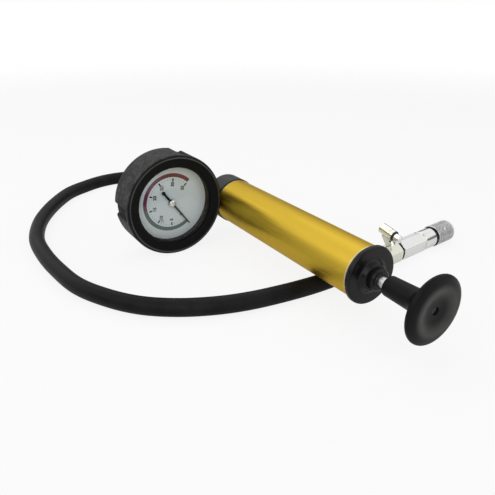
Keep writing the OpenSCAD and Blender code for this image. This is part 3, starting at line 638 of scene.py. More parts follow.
@dataclass(frozen=True)
class AnodisedTube(Metal):
    """Dyed aluminium tube, drawn along its length, with paler cut rims."""

    rim: Colour = (0.62, 0.54, 0.32)
    edge: Colour = (0.92, 0.82, 0.62)
    ends: Pair = (0.0, 1.0)
    rim_width: Pair = (0.0011, 0.0012)
    rim_blend: float = 0.0002
    cloud: Point = (0.25, 1, 1)
    cloud_scale: float = 45

    def paint(self, graph: Graph) -> None:
        """Vary the dye along the drawn lines, and cut the rims at both ends bright.

        Args:
            graph: The material's graph.
        """
        drawn = graph.noise(graph.coordinates(self.lines), self.line_scale, 5)
        cloud = graph.noise(graph.coordinates(self.cloud), self.cloud_scale, 3)
        along, blend = graph.coordinate("X"), self.rim_blend
        rear, front = self.ends[0] + self.rim_width[0], self.ends[1] - self.rim_width[1]
        cut = (graph.range(along, rear - blend, rear + blend, 1, 0)
               + graph.range(along, front - blend, front + blend))
        deep = scaled(self.tint, 1 - 2 * self.shade)
        dye = graph.mix(graph.range(drawn * 0.45 + cloud * 0.55, 0.36, 0.62), deep, self.tint)
        graph.surface(
            Base_Color=graph.mix(cut, dye, self.rim), Metallic=1.0, Specular_Tint=self.edge,
            Roughness=graph.range(drawn, *WIDE, self.rough * 0.85, self.rough * 1.2),
            Normal=graph.bump(drawn, self.depth))


@dataclass(frozen=True)
class KnurledSteel(Metal):
    """Knurled steel, darker in its grooves."""

    mark_scale: float = 300
    outer_r: float = 0.0085
    deep: float = 0.0007
    groove_share: float = 0.1

    def paint(self, graph: Graph) -> None:
        """Tell the pyramids' tops from the grooves by the distance from the fitting's axis.

        Args:
            graph: The material's graph.
        """
        top = graph.range(graph.off_axis(FITTING), self.outer_r - self.deep,
                          self.outer_r - 0.1 * self.deep)
        marks = graph.noise(graph.coordinates(), self.mark_scale, 4)
        # The grooves take a share of the steel's colour, so they are darker
        tint_share = top * graph.range(marks, 0.3, 0.6, 0.8, 1)
        graph.surface(
            Base_Color=graph.mix(tint_share, scaled(self.tint, self.groove_share), self.tint), Metallic=1.0,
            Roughness=graph.range(top, 0, 1, self.rough * 1.8, self.rough),
            Normal=graph.bump(marks, self.depth))


@dataclass(frozen=True)
class Moulded(Finish):
    """Moulded plastic or rubber: a fine skin, slight unevenness and faint wear."""

    rough: float = 0.35
    grain: float = 2200
    depth: float = 1.5e-5
    cloud: float = 60
    worn: float = 0.5
    specular: float = 0.28

    def paint(self, graph: Graph) -> None:
        """Raise the skin by a fine grain, and vary its shade and gloss by a slow noise.

        Args:
            graph: The material's graph.
        """
        skin, slow = self.skin(graph)
        uneven = slow * 0.7 + skin * 0.3
        pale = tuple(c * (1 + self.worn) + 0.004 * self.worn for c in self.tint)
        graph.surface(
            Base_Color=graph.mix(graph.range(slow, 0.4, 0.66), self.tint, pale),
            Specular_IOR_Level=self.specular,
            Roughness=graph.range(uneven, *NARROW, self.rough * 0.88, self.rough * 1.12),
            Normal=graph.bump(skin * 0.4 + slow, self.depth))

    def skin(self, graph: Graph) -> tuple[Value, Value]:
        """Noise of the grain and of the slow unevenness."""
        where = graph.coordinates()
        return graph.noise(where, self.grain, 2), graph.noise(where, self.cloud, 4)


@dataclass(frozen=True)
class CrownHighlightPlastic(Moulded):
    """Plastic knob with a painted highlight: a paler ring all round the crown of its face."""

    # Colour of the painted highlight on the crown
    painted_highlight: Colour = (0.056, 0.055, 0.053)
    crown: Point = (0.006, 0.0135, 0.0178)
    face: float = 0.0
    crown_depth: Pair = (0.004, 0.002)

    def paint(self, graph: Graph) -> None:
        """Find the crown by the distance from the barrel's axis and from the knob's face.

        Args:
            graph: The material's graph.
        """
        radius = graph.off_axis(PUMP)
        inner, ridge, outer = self.crown
        behind = [self.face - depth for depth in self.crown_depth]
        crown = (graph.range(radius, inner, ridge) * graph.range(radius, ridge, outer, 1, 0)
                 * graph.range(graph.coordinate("X"), *behind))
        skin, slow = self.skin(graph)
        # Painted highlight: the crown's ring is paler all round, in place of light on the ridge
        crown_highlight = crown * graph.range(slow, 0.3, 0.6, 0.7, 1)
        graph.surface(
            Base_Color=graph.mix(crown_highlight, self.tint, self.painted_highlight), Specular_IOR_Level=self.specular,
            Roughness=graph.range(slow, *NARROW, self.rough * 0.9, self.rough * 1.1),
            Normal=graph.bump(skin * 0.4 + slow, self.depth))


@dataclass(frozen=True)
class BootRubber(Finish):
    """Moulded boot: grained wall made pale as painted light, front dark as painted shade, ridge paler as painted
    highlight.
    """

    # Wall colour: dust, made pale as painted light on the lit wall
    dusty_lit_wall: Colour = (0.056, 0.056, 0.057)
    hollows: float = 0.32
    # Ridge colour: painted highlight, partly edge wear
    painted_highlight: Colour = (0.05, 0.05, 0.05)
    wall_r: float = 0.0384
    ridge_r: float = 0.0361
    blend: float = 0.0004
    front: float = 0.0
    grain: float = 1500
    mottle: Pair = (420, 110)
    rough: Pair = (0.46, 0.62)
    coat_rough: float = 0.18
    depth: float = 5e-5
    specular: float = 0.12

    def paint(self, graph: Graph) -> None:
        """Part the pale wall from the dark front by the distance from the gauge's axis, and mottle the dust.

        Args:
            graph: The material's graph.
        """
        radius, blend = graph.off_axis(GAUGE), self.blend
        where = graph.coordinates()
        skin = graph.noise(where, self.grain, 2)
        fine, coarse = self.mottle
        cloud = graph.noise(where, fine, 5) * 0.55 + graph.noise(where, coarse, 2) * 0.45
        # Painted light and shade: the wall beyond wall_r takes the pale dusty colour, the front keeps the dark
        # tint
        wall = graph.range(radius, self.wall_r - blend, self.wall_r + blend)
        # Painted highlight, partly edge wear: the ridge round the front is paler and coated
        ridge = (graph.range(graph.coordinate("X"), self.front - blend, self.front - blend / 4)
                 * graph.range(radius, self.ridge_r, self.ridge_r + blend))
        hollow = scaled(self.dusty_lit_wall, self.hollows)
        dust = graph.mix(graph.range(cloud, 0.42, 0.6), hollow, self.dusty_lit_wall)
        plain = graph.mix(wall, self.tint, dust)
        graph.surface(
            Base_Color=graph.mix(ridge * (cloud * 0.8), plain, self.painted_highlight),
            Specular_IOR_Level=self.specular, Coat_Weight=ridge, Coat_Roughness=self.coat_rough,
            Roughness=graph.range(cloud, *WIDE, *self.rough),
            Normal=graph.bump(skin * 0.4 + cloud, self.depth))


@dataclass(frozen=True)
class Enamel(Finish):
    """Paint or printing ink, with the faintest unevenness."""

    rough: float = 0.45
    rough_spread: float = 0.1
    spread: float = 0.06
    specular: float = 0.5
    cloud: float = 160
    grain: float = 3000
    depth: float = 2e-6

    def paint(self, graph: Graph) -> None:
        """Vary the paint's shade by a slow noise and its skin by a fine one.

        Args:
            graph: The material's graph.
        """
        slow = graph.noise(graph.coordinates(), self.cloud, 3)
        fine = graph.noise(graph.coordinates(), self.grain, 2)
        graph.surface(
            Base_Color=graph.mix(slow, scaled(self.tint, 1 - self.spread), self.tint),
            Roughness=fine * self.rough_spread + (self.rough - self.rough_spread / 2),
            Specular_IOR_Level=self.specular, Normal=graph.bump(fine, self.depth))


@dataclass(frozen=True)
class HoseRubber(Finish):
    """Extruded hose cover: lines along the hose, fine grain and dusty patches."""

    rough: float = 0.42
    specular: float = 0.09
    lines: Point = (60, 2, 1)
    patches: float = 38
    grain: float = 2600
    depth: float = 2.2e-5

    def paint(self, graph: Graph) -> None:
        """Draw the lines by the hose's own UV map, whose u runs round it and v along.

        Args:
            graph: The material's graph.
        """
        along = graph.node("ShaderNodeUVMap", {"uv_map": "along"})
        stretched = graph.node("ShaderNodeMapping", None, {"Vector": along, "Scale": self.lines})
        drawn = graph.noise(stretched, 1, 3)
        where = graph.coordinates()
        dust, grain = graph.noise(where, self.patches, 5), graph.noise(where, self.grain, 2)
        pale = tuple(c * 1.9 + 0.002 for c in self.tint)
        uneven = dust * 0.6 + drawn * 0.4
        graph.surface(
            Base_Color=graph.mix(graph.range(dust, 0.42, 0.72), self.tint, pale),
            Specular_IOR_Level=self.specular,
            Roughness=graph.range(uneven, *NARROW, self.rough * 0.88, self.rough * 1.15),
            Normal=graph.bump(drawn * 0.5 + grain * 0.5, self.depth))


@dataclass(frozen=True)
class Glass(Finish):
    """Clear flat glass: what lies behind shows through, and the room shines on it."""

    straight: float = 0.04
    smears: float = 90
    rough: Pair = (0.02, 0.09)

    def paint(self, graph: Graph) -> None:
        """Mix a clear layer and a smeared gloss by s + (1 - s) (1 - cos)^5, the same on both faces.

        Args:
            graph: The material's graph.
        """
        smear = graph.noise(graph.coordinates(), self.smears, 4)
        clear = graph.node("ShaderNodeBsdfTransparent", None, {"Color": (*self.tint, 1)})
        gloss = graph.node("ShaderNodeBsdfGlossy", None,
                           {"Roughness": graph.range(smear, *WIDE, *self.rough)})
        facing = graph.node("ShaderNodeLayerWeight", None, {"Blend": 0.5}, "Facing")
        square = facing * facing
        shine = square * square * facing * (1 - self.straight) + self.straight
        mixed = graph.node("ShaderNodeMixShader", None, {0: shine, 1: clear, 2: gloss})
        graph.node("ShaderNodeOutputMaterial", None, {"Surface": mixed})


NICKEL = Metal("nickel_plate", (0.82, 0.82, 0.805), rough=0.11, shade=0.04)
WARM_NICKEL = Metal("warm_nickel_plate", (0.78, 0.78, 0.69), rough=0.11, shade=0.04)
KNURL_STEEL = KnurledSteel("knurled_steel", (0.66, 0.66, 0.66), rough=0.22)
ROD_CHROME = Metal("rod_chrome", (0.85, 0.86, 0.88), rough=0.26, lines=(0.05, 1, 1), shade=0.03)
DARK_STEEL = Metal("blackened_steel", (0.08, 0.08, 0.085), rough=0.4)
ZINC = Metal("zinc_plate", (0.55, 0.56, 0.58), rough=0.28)
BRASS = Metal("machined_brass", (0.72, 0.52, 0.2), rough=0.22)
BRONZE = Metal("spring_bronze", (0.66, 0.4, 0.2), rough=0.28)
COPPER = Metal("soft_copper", (0.62, 0.32, 0.19), rough=0.35)
GOLD = AnodisedTube("gold_anodised", (0.6, 0.41, 0.043), rough=0.4, lines=(0.02, 1, 1),
                    line_scale=700, depth=1.2e-6, shade=0.04,
                    ends=(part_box("barrel")[0].x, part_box("barrel")[1].x))
GLOSS_BLACK = Moulded("gloss_black_plastic", (0.006, 0.006, 0.0063), rough=0.26, depth=6e-6,
                      worn=0.3, specular=0.2)
SATIN_BLACK = CrownHighlightPlastic("satin_black_plastic", (0.005, 0.005, 0.0052), rough=0.4,
                             depth=1.2e-5, specular=0.11, face=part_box("knob")[1].x)
HEAD_BLACK = Moulded("head_plastic", (0.012, 0.0125, 0.012), rough=0.38, depth=1.5e-5)
BOOT_RUBBER = BootRubber("boot_rubber", (0.0024, 0.0026, 0.003), front=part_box("gauge_boot")[1].x)
SEAL_RUBBER = Moulded("seal_rubber", (0.012, 0.012, 0.0125), rough=0.4)
HOSE_RUBBER = HoseRubber("hose_rubber", (0.0065, 0.0065, 0.0068))
ACETAL = Moulded("white_acetal", (0.75, 0.73, 0.66), rough=0.4, worn=0.05)
CASE_PAINT = Enamel("case_enamel", (0.006, 0.006, 0.0063), rough=0.3, specular=0.15)
DIAL_PAINT = Enamel("dial_enamel", (0.68, 0.755, 0.765), rough=0.4, spread=0.04)
INK_BLACK = Enamel("black_ink", (0.008, 0.009, 0.009), specular=0.1)
INK_GREY = Enamel("grey_ink", (0.06, 0.065, 0.065))
INK_GREEN = Enamel("green_ink", (0.065, 0.11, 0.085))
INK_RED = Enamel("red_ink", (0.13, 0.007, 0.042))
NEEDLE_BLACK = Enamel("needle_enamel", (0.006, 0.006, 0.006), rough=0.35, specular=0.1)
LENS_GLASS = Glass("lens_glass", (0.98, 0.985, 0.99))

SLOT_FINISH: dict[str, Finish] = {
    "gold_anodised": GOLD, "black_plastic": HEAD_BLACK, "knob_plastic": SATIN_BLACK,
    "brass": BRASS, "steel": ZINC, "polished_steel": ROD_CHROME, "nickel": NICKEL,
    "knurled_steel": KNURL_STEEL, "rubber": SEAL_RUBBER, "boot_rubber": BOOT_RUBBER,
    "hose_rubber": HOSE_RUBBER, "acetal": ACETAL, "case_paint": CASE_PAINT, "lens": LENS_GLASS,
    "dial_white": DIAL_PAINT, "pointer_black": NEEDLE_BLACK, "bronze": BRONZE, "copper": COPPER,
}
NODE_FINISH: dict[str, Finish] = {"knob_screw": DARK_STEEL, "retaining_ring": DARK_STEEL}


def dress_frame() -> None:
    """Give every CAD node its own finish, or else the finish of its slot."""
    for row in frame["record"]["subparts"]:
        mesh = frame["nodes"][row["node"]].data
        mesh.materials.clear()
        finish = NODE_FINISH.get(row["node"], SLOT_FINISH[row["material_slot"]])
        mesh.materials.append(finish.material())


# Camera, light and floor

@dataclass(frozen=True)
class Lamp:
    """Square soft lamp: its place and width in metres, and its power in watts."""

    name: str
    at: Point
    size: float
    power: float

    def build(self, aim: Point) -> None:
        """Hang the lamp, out of the camera's sight.

        Args:
            aim: Point in metres that it is turned towards.
        """
        light = bpy.data.lights.new(self.name, "AREA")
        light.shape, light.size, light.energy = "SQUARE", self.size, self.power
        made = bpy.data.objects.new(self.name, light)
        turn = (Vector(aim) - Vector(self.at)).to_track_quat("-Z", "Y").to_matrix().to_4x4()
        made.matrix_world = Matrix.Translation(self.at) @ turn
        made.visible_camera = False
        bpy.context.scene.collection.objects.link(made)


@dataclass(frozen=True)
class Studio:
    """Camera at the photograph's angle, soft light and a pale floor.

    The camera's place is in millimetres from the barrel's rear rim. Bands of the room give where
    its dimming starts and ends, as the height or the nearness to the camera of a direction.
    """

    camera_at: Point = (355.7, -216.5, 151.4)
    right: Point = (0.53907, 0.84226, 0.00189)
    down: Point = (0.35699, -0.22645, -0.90624)
    forward: Point = (-0.76287, 0.48920, -0.42275)
    focal_px: float = 533.25
    frame_px: float = 495
    sensor: float = 36
    clip: Pair = (0.01, 20)
    room: float = 0.32
    white: float = 1.0
    overhead: float = 0.45
    overhead_band: Pair = (0.55, 0.9)
    towards: float = 0.6
    towards_band: Pair = (0.45, 0.85)
    skyline: float = 0.85
    skyline_low: Pair = (-0.02, 0.05)
    skyline_high: Pair = (0.2, 0.4)
    floor_r: float = 1.6
    floor_sides: int = 96
    floor_fade: Pair = (0.45, 0.95)
    floor_shade: float = 0.78
    floor_grit: float = 0.02
    grit_scale: float = 40
    floor_glow: float = 0.86
    floor_gloss: float = 0.45
    aim: Point = (0.0, 0.0, 0.03)
    lamps: tuple[Lamp, ...] = (
        Lamp("key", (0.25, -0.75, 0.85), 1.2, 4.4),
        Lamp("top", (-0.3, 0.3, 1.1), 1.1, 3.6),
        Lamp("front", (0.95, -0.55, 0.5), 1.2, 4.0),
        Lamp("left", (-0.65, -0.5, 0.44), 1.2, 2.0),
        Lamp("right", (1.0, 0.65, 0.55), 1.2, 3.2),
    )

    def camera(self) -> None:
        """Set the camera up on its own axes."""
        lens = bpy.data.cameras.new("camera")
        lens.sensor_width = self.sensor
        lens.lens = self.sensor * self.focal_px / self.frame_px
        lens.clip_start, lens.clip_end = self.clip
        made = bpy.data.objects.new("camera", lens)
        at = (np.array(self.camera_at) + np.array(PUMP.origin)) * MM
        axes = np.array([self.right, -np.array(self.down), -np.array(self.forward)]).T
        made.matrix_world = Matrix.Translation(at) @ Matrix(axes.tolist()).to_4x4()
        bpy.context.scene.collection.objects.link(made)
        bpy.context.scene.camera = made

    def seen(self, graph: Graph, gloss: Value | float) -> Value:
        """How far a ray sees the white room.

        Args:
            graph: Graph that the nodes go into.
            gloss: How far a ray from a glossy surface sees it.

        Returns:
            1 for a ray from the camera or through glass, gloss for one from a gloss, or else 0.
        """
        camera, shine, glass = (
            graph.node("ShaderNodeLightPath", out=name)
            for name in ("Is Camera Ray", "Is Glossy Ray", "Is Transmission Ray"))
        return graph.node("ShaderNodeMath", {"operation": "MINIMUM"},
                          {0: camera + glass + shine * gloss, 1: 1.0})

    def backdrop(self, graph: Graph) -> Value:
        """The room in a gloss: white, but dimmer overhead, along the skyline and near the camera.

        Args:
            graph: Graph that the nodes go into.

        Returns:
            Its brightness, from 0 to 1.
        """
        way = graph.node("ShaderNodeTexCoord", out="Generated")
        up = graph.node("ShaderNodeSeparateXYZ", None, {0: way}, "Z")
        near = graph.vector("DOT_PRODUCT", way, scaled(self.forward, -1), "Value")
        line = graph.range(up, *self.skyline_low) * graph.range(up, *self.skyline_high, 1, 0)
        return ((1 - graph.range(up, *self.overhead_band) * self.overhead)
                * (1 - graph.range(near, *self.towards_band) * self.towards)
                * (1 - line * self.skyline))

    def world(self) -> None:
        """White room to the eye, at a plain level as light."""
        made = bpy.data.worlds.new("room")
        made.use_nodes = True
        bpy.context.scene.world = made
        graph = Graph(made.node_tree)
        gloss = (self.backdrop(graph) * self.white - self.room) / (self.white - self.room)
        level = self.seen(graph, gloss) * (self.white - self.room) + self.room
        shader = graph.node("ShaderNodeBackground", None,
                            {"Color": (1, 1, 1, 1), "Strength": level})
        graph.node("ShaderNodeOutputWorld", None, {"Surface": shader})

    def floor(self) -> None:
        """Pale disc of triangles about its middle."""
        mesh = bpy.data.meshes.new("floor")
        sides = self.floor_sides
        rim = revolve(np.array([[self.floor_r, 0.0]]), sides)[0]
        i = np.arange(sides)
        faces = np.stack([0 * i, i + 1, (i + 1) % sides + 1], -1)
        mesh.from_pydata([(0, 0, 0)] + rim.tolist(), [], faces.tolist())
        mesh.materials.append(self.floor_paint())
        made = bpy.data.objects.new("floor", mesh)
        bpy.context.scene.collection.objects.link(made)

    def floor_paint(self) -> bpy.types.Material:
        """Pale paint that fades out at the floor's edge, and is white where no shadow falls.

        Returns:
            The material.
        """
        paint = bpy.data.materials.new("floor_white")
        paint.use_nodes = True
        graph = Graph(paint.node_tree)
        grit = graph.noise(graph.coordinates(), self.grit_scale, 3)
        shade = graph.mix(grit, (self.floor_shade,) * 3, (self.floor_shade + self.floor_grit,) * 3)
        lit = graph.node("ShaderNodeBsdfDiffuse", None, {"Color": shade})
        glow = graph.node("ShaderNodeEmission", None, {"Color": (1, 1, 1, 1), "Strength": 1.0})
        eye = self.seen(graph, self.floor_gloss)
        pale = graph.node("ShaderNodeMixShader", None, {0: eye * self.floor_glow, 1: lit, 2: glow})
        clear = graph.node("ShaderNodeBsdfTransparent")
        away = graph.vector("LENGTH", graph.spot(), out="Value")
        fade = graph.range(away, *(self.floor_r * share for share in self.floor_fade))
        mixed = graph.node("ShaderNodeMixShader", None, {0: fade, 1: pale, 2: clear})
        graph.node("ShaderNodeOutputMaterial", None, {"Surface": mixed})
        return paint

    def build(self) -> None:
        """Make the camera, the room, the floor and the lamps."""
        bpy.context.scene.view_settings.view_transform = "Standard"
        self.camera()
        self.world()
        self.floor()
        for lamp in self.lamps:
            lamp.build(self.aim)


# Hose

@dataclass
class Hose:
    """The rubber hose, on the route of its CAD solid.

    Its route goes straight out of the nipple, down to the floor, round on the floor and up into
    the fitting. Its points are from the barrel's rear rim, and their heights from the floor.
    """

    outer_d: float = 12.0
    bore_d: float = 6.4
    height: float = 29.8
    nipple_rear: float = -27.0
    lead: float = 16.0
    down: Sequence[Point] = ((-78, 4, 26), (-97, 8, 18), (-116, 13, 10), (-134, 15, 6.6))
    level: Sequence[Pair] = (
        (-152, 11), (-168, -1), (-179, -18), (-184, -38), (-182, -57), (-174, -76),
        (-164, -92.5), (-149, -106.5), (-125, -123.5), (-97, -138), (-64, -148), (-31.5, -150),
        (0, -148), (30, -143), (55, -132), (75, -118), (90, -100), (101, -79), (108, -57),
        (112, -32), (113.8, -9))
    rise: Point = (114.8, 9, 6.9)
    tail: Sequence[float] = (-48.0, -41.0, -34.0)
    parts: int = 12
    sides: int = 40

    def route(self) -> Array:
        """Centre points from the head to the fitting.

        Returns:
            Points in millimetres of the shared frame.
        """
        out = [(self.nipple_rear - self.lead * i, 0, self.height) for i in range(3)]
        ground = [(x, y, self.outer_d / 2) for x, y in self.level]
        free = np.array([*out, *self.down, *ground, self.rise])
        shift = np.array([PUMP.origin[0], PUMP.origin[1], 0])
        held = FITTING.world(np.array([(0, 0, station) for station in self.tail])) / MM
        return np.concatenate([free + shift, held])

    def build(self, with_pieces: Sequence[bpy.types.Object]) -> None:
        """Args:
            with_pieces: The pieces on its far end; not used.
        """
        line = through(self.route(), self.parts)
        cover = tube(line, self.outer_d / 2, self.sides)
        bore = tube(line, self.bore_d / 2, self.sides)[::-1]
        piece = Piece("hose_cover", SHARED).add(np.concatenate([cover, bore]), ring=True)
        made = piece.make(HOSE_RUBBER, Body.PUMP, ["hose"], "hose_rubber")
        steps = np.linalg.norm(np.diff(line, axis=0), axis=1)
        self.unwrap(made.data, line, np.concatenate([[0], np.cumsum(steps)]))

    def unwrap(self, mesh: bpy.types.Mesh, line: Array, walked: Array) -> None:
        """UV map: u is the angle round the hose, v the distance along it in its own diameters.

        Args:
            mesh: The hose's mesh.
            line: Points along its middle.
            walked: Distance along the line at each of them.
        """
        points = np.empty(len(mesh.vertices) * 3)
        mesh.vertices.foreach_get("co", points)
        points = points.reshape(-1, 3) / MM
        nearest = ((points[:, None] - line[None]) ** 2).sum(-1).argmin(1)
        off = points - line[nearest]
        side = np.cross((0.0, 0.0, 1.0), heading(line)[nearest])
        round_it = np.arctan2(off[:, 2], (off * side).sum(1)) / TAU
        uv = np.stack([np.abs(round_it) * 2, walked[nearest] / self.outer_d], -1)
        corners = np.empty(len(mesh.loops), int)
        mesh.loops.foreach_get("vertex_index", corners)
        layer = mesh.uv_layers.new(name="along")
        layer.data.foreach_set("uv", uv[corners].ravel())


# Springs

@dataclass
class Spring:
    """A coil spring that a joint presses towards its fixed end. The fixed end comes first."""

    node: str
    joint: str
    place: Place
    coil_r: float
    wire: float
    ends: Pair
    turns: int
    travel: float
    steps: int = 24
    sides: int = 10

    def build(self) -> bpy.types.Object:
        """Wind the wire.

        A point at turn t and angle a round the wire is ((R + w cos a) cos t, (R + w cos a) sin t,
        h + w sin a), with h going evenly from end to end.

        Returns:
            The spring.
        """
        fixed, free = self.ends
        t = np.linspace(0, TAU * self.turns, self.turns * self.steps + 1)[:, None]
        a = np.linspace(0, TAU, self.sides, endpoint=False)[None, :]
        h = fixed + self.wire + (free - fixed - 2 * self.wire) * t / t.max()
        w = np.full_like(t, self.wire)
        t, h, w = (np.concatenate([v[:1], v, v[-1:]]) for v in (t, h, w))
        w[[0, -1]] = 0
        q = self.coil_r + w * np.cos(a)
        grid = np.stack([q * np.cos(t), q * np.sin(t), h + w * np.sin(a)], -1)
        piece = Piece(f"{self.node}_coil", self.place).add(grid)
        made = piece.make(ZINC, Body.PUMP, [self.node], "steel")
        anchor = self.place.world(np.array([0.0, 0.0, fixed]))
        1 - self.travel / (free - fixed)
        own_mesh(made)
        return made


# Pump

@dataclass
class Pump:
    """Barrel, front cap, plunger knob and the check valve's spring."""

    barrel_r: float = 17.5
    barrel_len: float = 152.5
    bore_r: float = 15.5
    rim: float = 0.7
    cap_r: float = 19.1
    cap_t: float = 4.6
    cap_round: float = 3.2
    cap_dish: float = 0.4
    cap_plug: float = 12.0
    cap_chamfer: Pair = (1.3, 1.6)
    hub_r: float = 9.5
    hub_h: float = 3.4
    hub_foot: float = 1.4
    hub_taper: float = 0.8
    gland_r: float = 7.2
    gland_h: float = 4.2
    wiper_h: float = 1.8
    rod_r: float = 3.5
    rod_gap: float = 0.3
    bush_wall: float = 2.05
    fit: float = 0.05
    knob_rear: float = 170.5
    knob_front: float = 206.5
    knob_r: float = 21.3
    knob_rim_r: float = 2.0
    crown_r: float = 12.0
    crown_deg: float = 60.0
    dish: float = 2.0
    stem_r: Pair = (6.5, 6.6)
    stem_straight: float = 3.0
    root_r: float = 7.1
    root_back: float = 19.0
    flare_share: float = 0.9
    flare_deg: float = 112.0
    socket_back: float = 9.0
    screw_seat: float = 4.0
    screw_hole_r: float = 2.4
    screw_lip: float = 0.5
    screw_r: float = 1.55

    def barrel(self) -> None:
        """The gold tube, with chamfered rims."""
        r, bore, end, rim = self.barrel_r, self.bore_r, self.barrel_len, self.rim
        tube_wall = [(bore, 0, 0.1), (r - rim, 0, 0.15), (r, rim, 0.2), (r, end - rim, 0.2),
                     (r - rim, end, 0.15), (bore, end, 0.1)]
        Piece("barrel_tube", PUMP).lathe(tube_wall, ring=True, columns=160).make(
            GOLD, Body.PUMP, ["barrel"], "gold_anodised")

    def cap(self) -> None:
        """The black cap with its dished face and stepped hub, and the gland ring on it."""
        start, front = self.barrel_len, self.barrel_len + self.cap_t
        rear, hub = start - self.cap_plug, front + self.hub_h
        r, bush, plug = self.cap_r, self.rod_r + self.bush_wall, self.bore_r - self.fit
        across, along = self.cap_chamfer
        flange = [(bush, rear, 0), (plug, rear, 0.4), (plug, start, 0), (r - across, start, 0.3),
                  (r, start + along, 0.6), (r, front, self.cap_round),
                  (self.hub_r + self.hub_foot, front - self.cap_dish, 2.5),
                  (self.hub_r - self.hub_taper, hub, 1.6), (bush, hub, 0.2)]
        Piece("cap_flange", PUMP).lathe(flange, ring=True, columns=144).make(
            GLOSS_BLACK, Body.PUMP, ["front_cap"], "black_plastic")
        end, seat, hole = hub + self.gland_h, hub + self.wiper_h, self.rod_r + self.rod_gap
        collar = [(bush, hub, 0), (self.gland_r, hub, 0.15), (self.gland_r, end, 1.6),
                  (hole, end, 0.4), (hole, seat, 0.1), (bush, seat, 0.1)]
        Piece("gland_collar", PUMP).lathe(collar, ring=True, columns=120).make(
            GLOSS_BLACK, Body.PUMP, ["gland_ring"], "black_plastic")

    def knob(self) -> None:
        """The plunger knob: a stem that flares into a rounded disc with a dished face.

        The rim is an arc, the crown a wider arc that goes on from it at crown_deg, and the dish a
        part of a ball.
        """
        rim_r, crown_r, dish, hole = self.knob_rim_r, self.crown_r, self.dish, self.screw_hole_r
        turn, front, rear = math.radians(self.crown_deg), self.knob_front, self.knob_rear
        rim_c = self.knob_r - rim_r
        rim_z = front - rim_r * math.sin(turn) - crown_r * (1 - math.sin(turn))
        crown_c = rim_c - (crown_r - rim_r) * math.cos(turn)
        root_z = front - self.root_back
        flare = self.flare_share * (rim_z - rim_r * math.sin(turn) - root_z)
        edge, lip = crown_c - 1, hole + self.screw_lip
        ball = (edge ** 2 + dish ** 2) / (2 * dish)
        socket, deep = self.rod_r + self.fit, front - self.socket_back
        seat, floor_z = deep + self.screw_seat, front - dish
        profile = np.concatenate([
            rounded([(socket, deep, 0), (socket, rear, 0.3), (self.stem_r[0], rear, 1.4),
                     (self.stem_r[1], rear + self.stem_straight, 0)]),
            arc(self.root_r + flare, root_z, flare, math.pi, math.radians(self.flare_deg), 22),
            arc(rim_c, rim_z, rim_r, -turn * self.flare_share, turn, 18),
            arc(crown_c, front - crown_r, crown_r, turn, math.pi / 2, 16),
            arc(0, floor_z + ball, ball, math.asin(edge / ball) - math.pi / 2,
                math.asin(lip / ball) - math.pi / 2, 14),
            rounded([(lip, floor_z, 0), (hole, floor_z - 0.1, 0.3), (hole, seat, 0.2),
                     (self.screw_r, seat, 0), (self.screw_r, deep, 0)])])
        Piece("knob_body", PUMP).add(revolve(profile, 160), ring=True).make(
            SATIN_BLACK, Body.PLUNGER, ["knob"], "knob_plastic", crease=50)

    def check_spring(self) -> None:
        """The check valve's spring, which the ball presses as it lifts."""
        ends = tuple(corner.x / MM - PUMP.origin[0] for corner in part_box("check_spring"))
        Spring("check_spring", "check_valve_lift", PUMP, coil_r=2.3, wire=0.3, ends=ends, turns=5,
               travel=1.2).build()

    def build(self) -> None:
        """Make the pump's pieces."""
        self.check_spring()
        self.barrel()
        self.cap()
        self.knob()


# Gauge

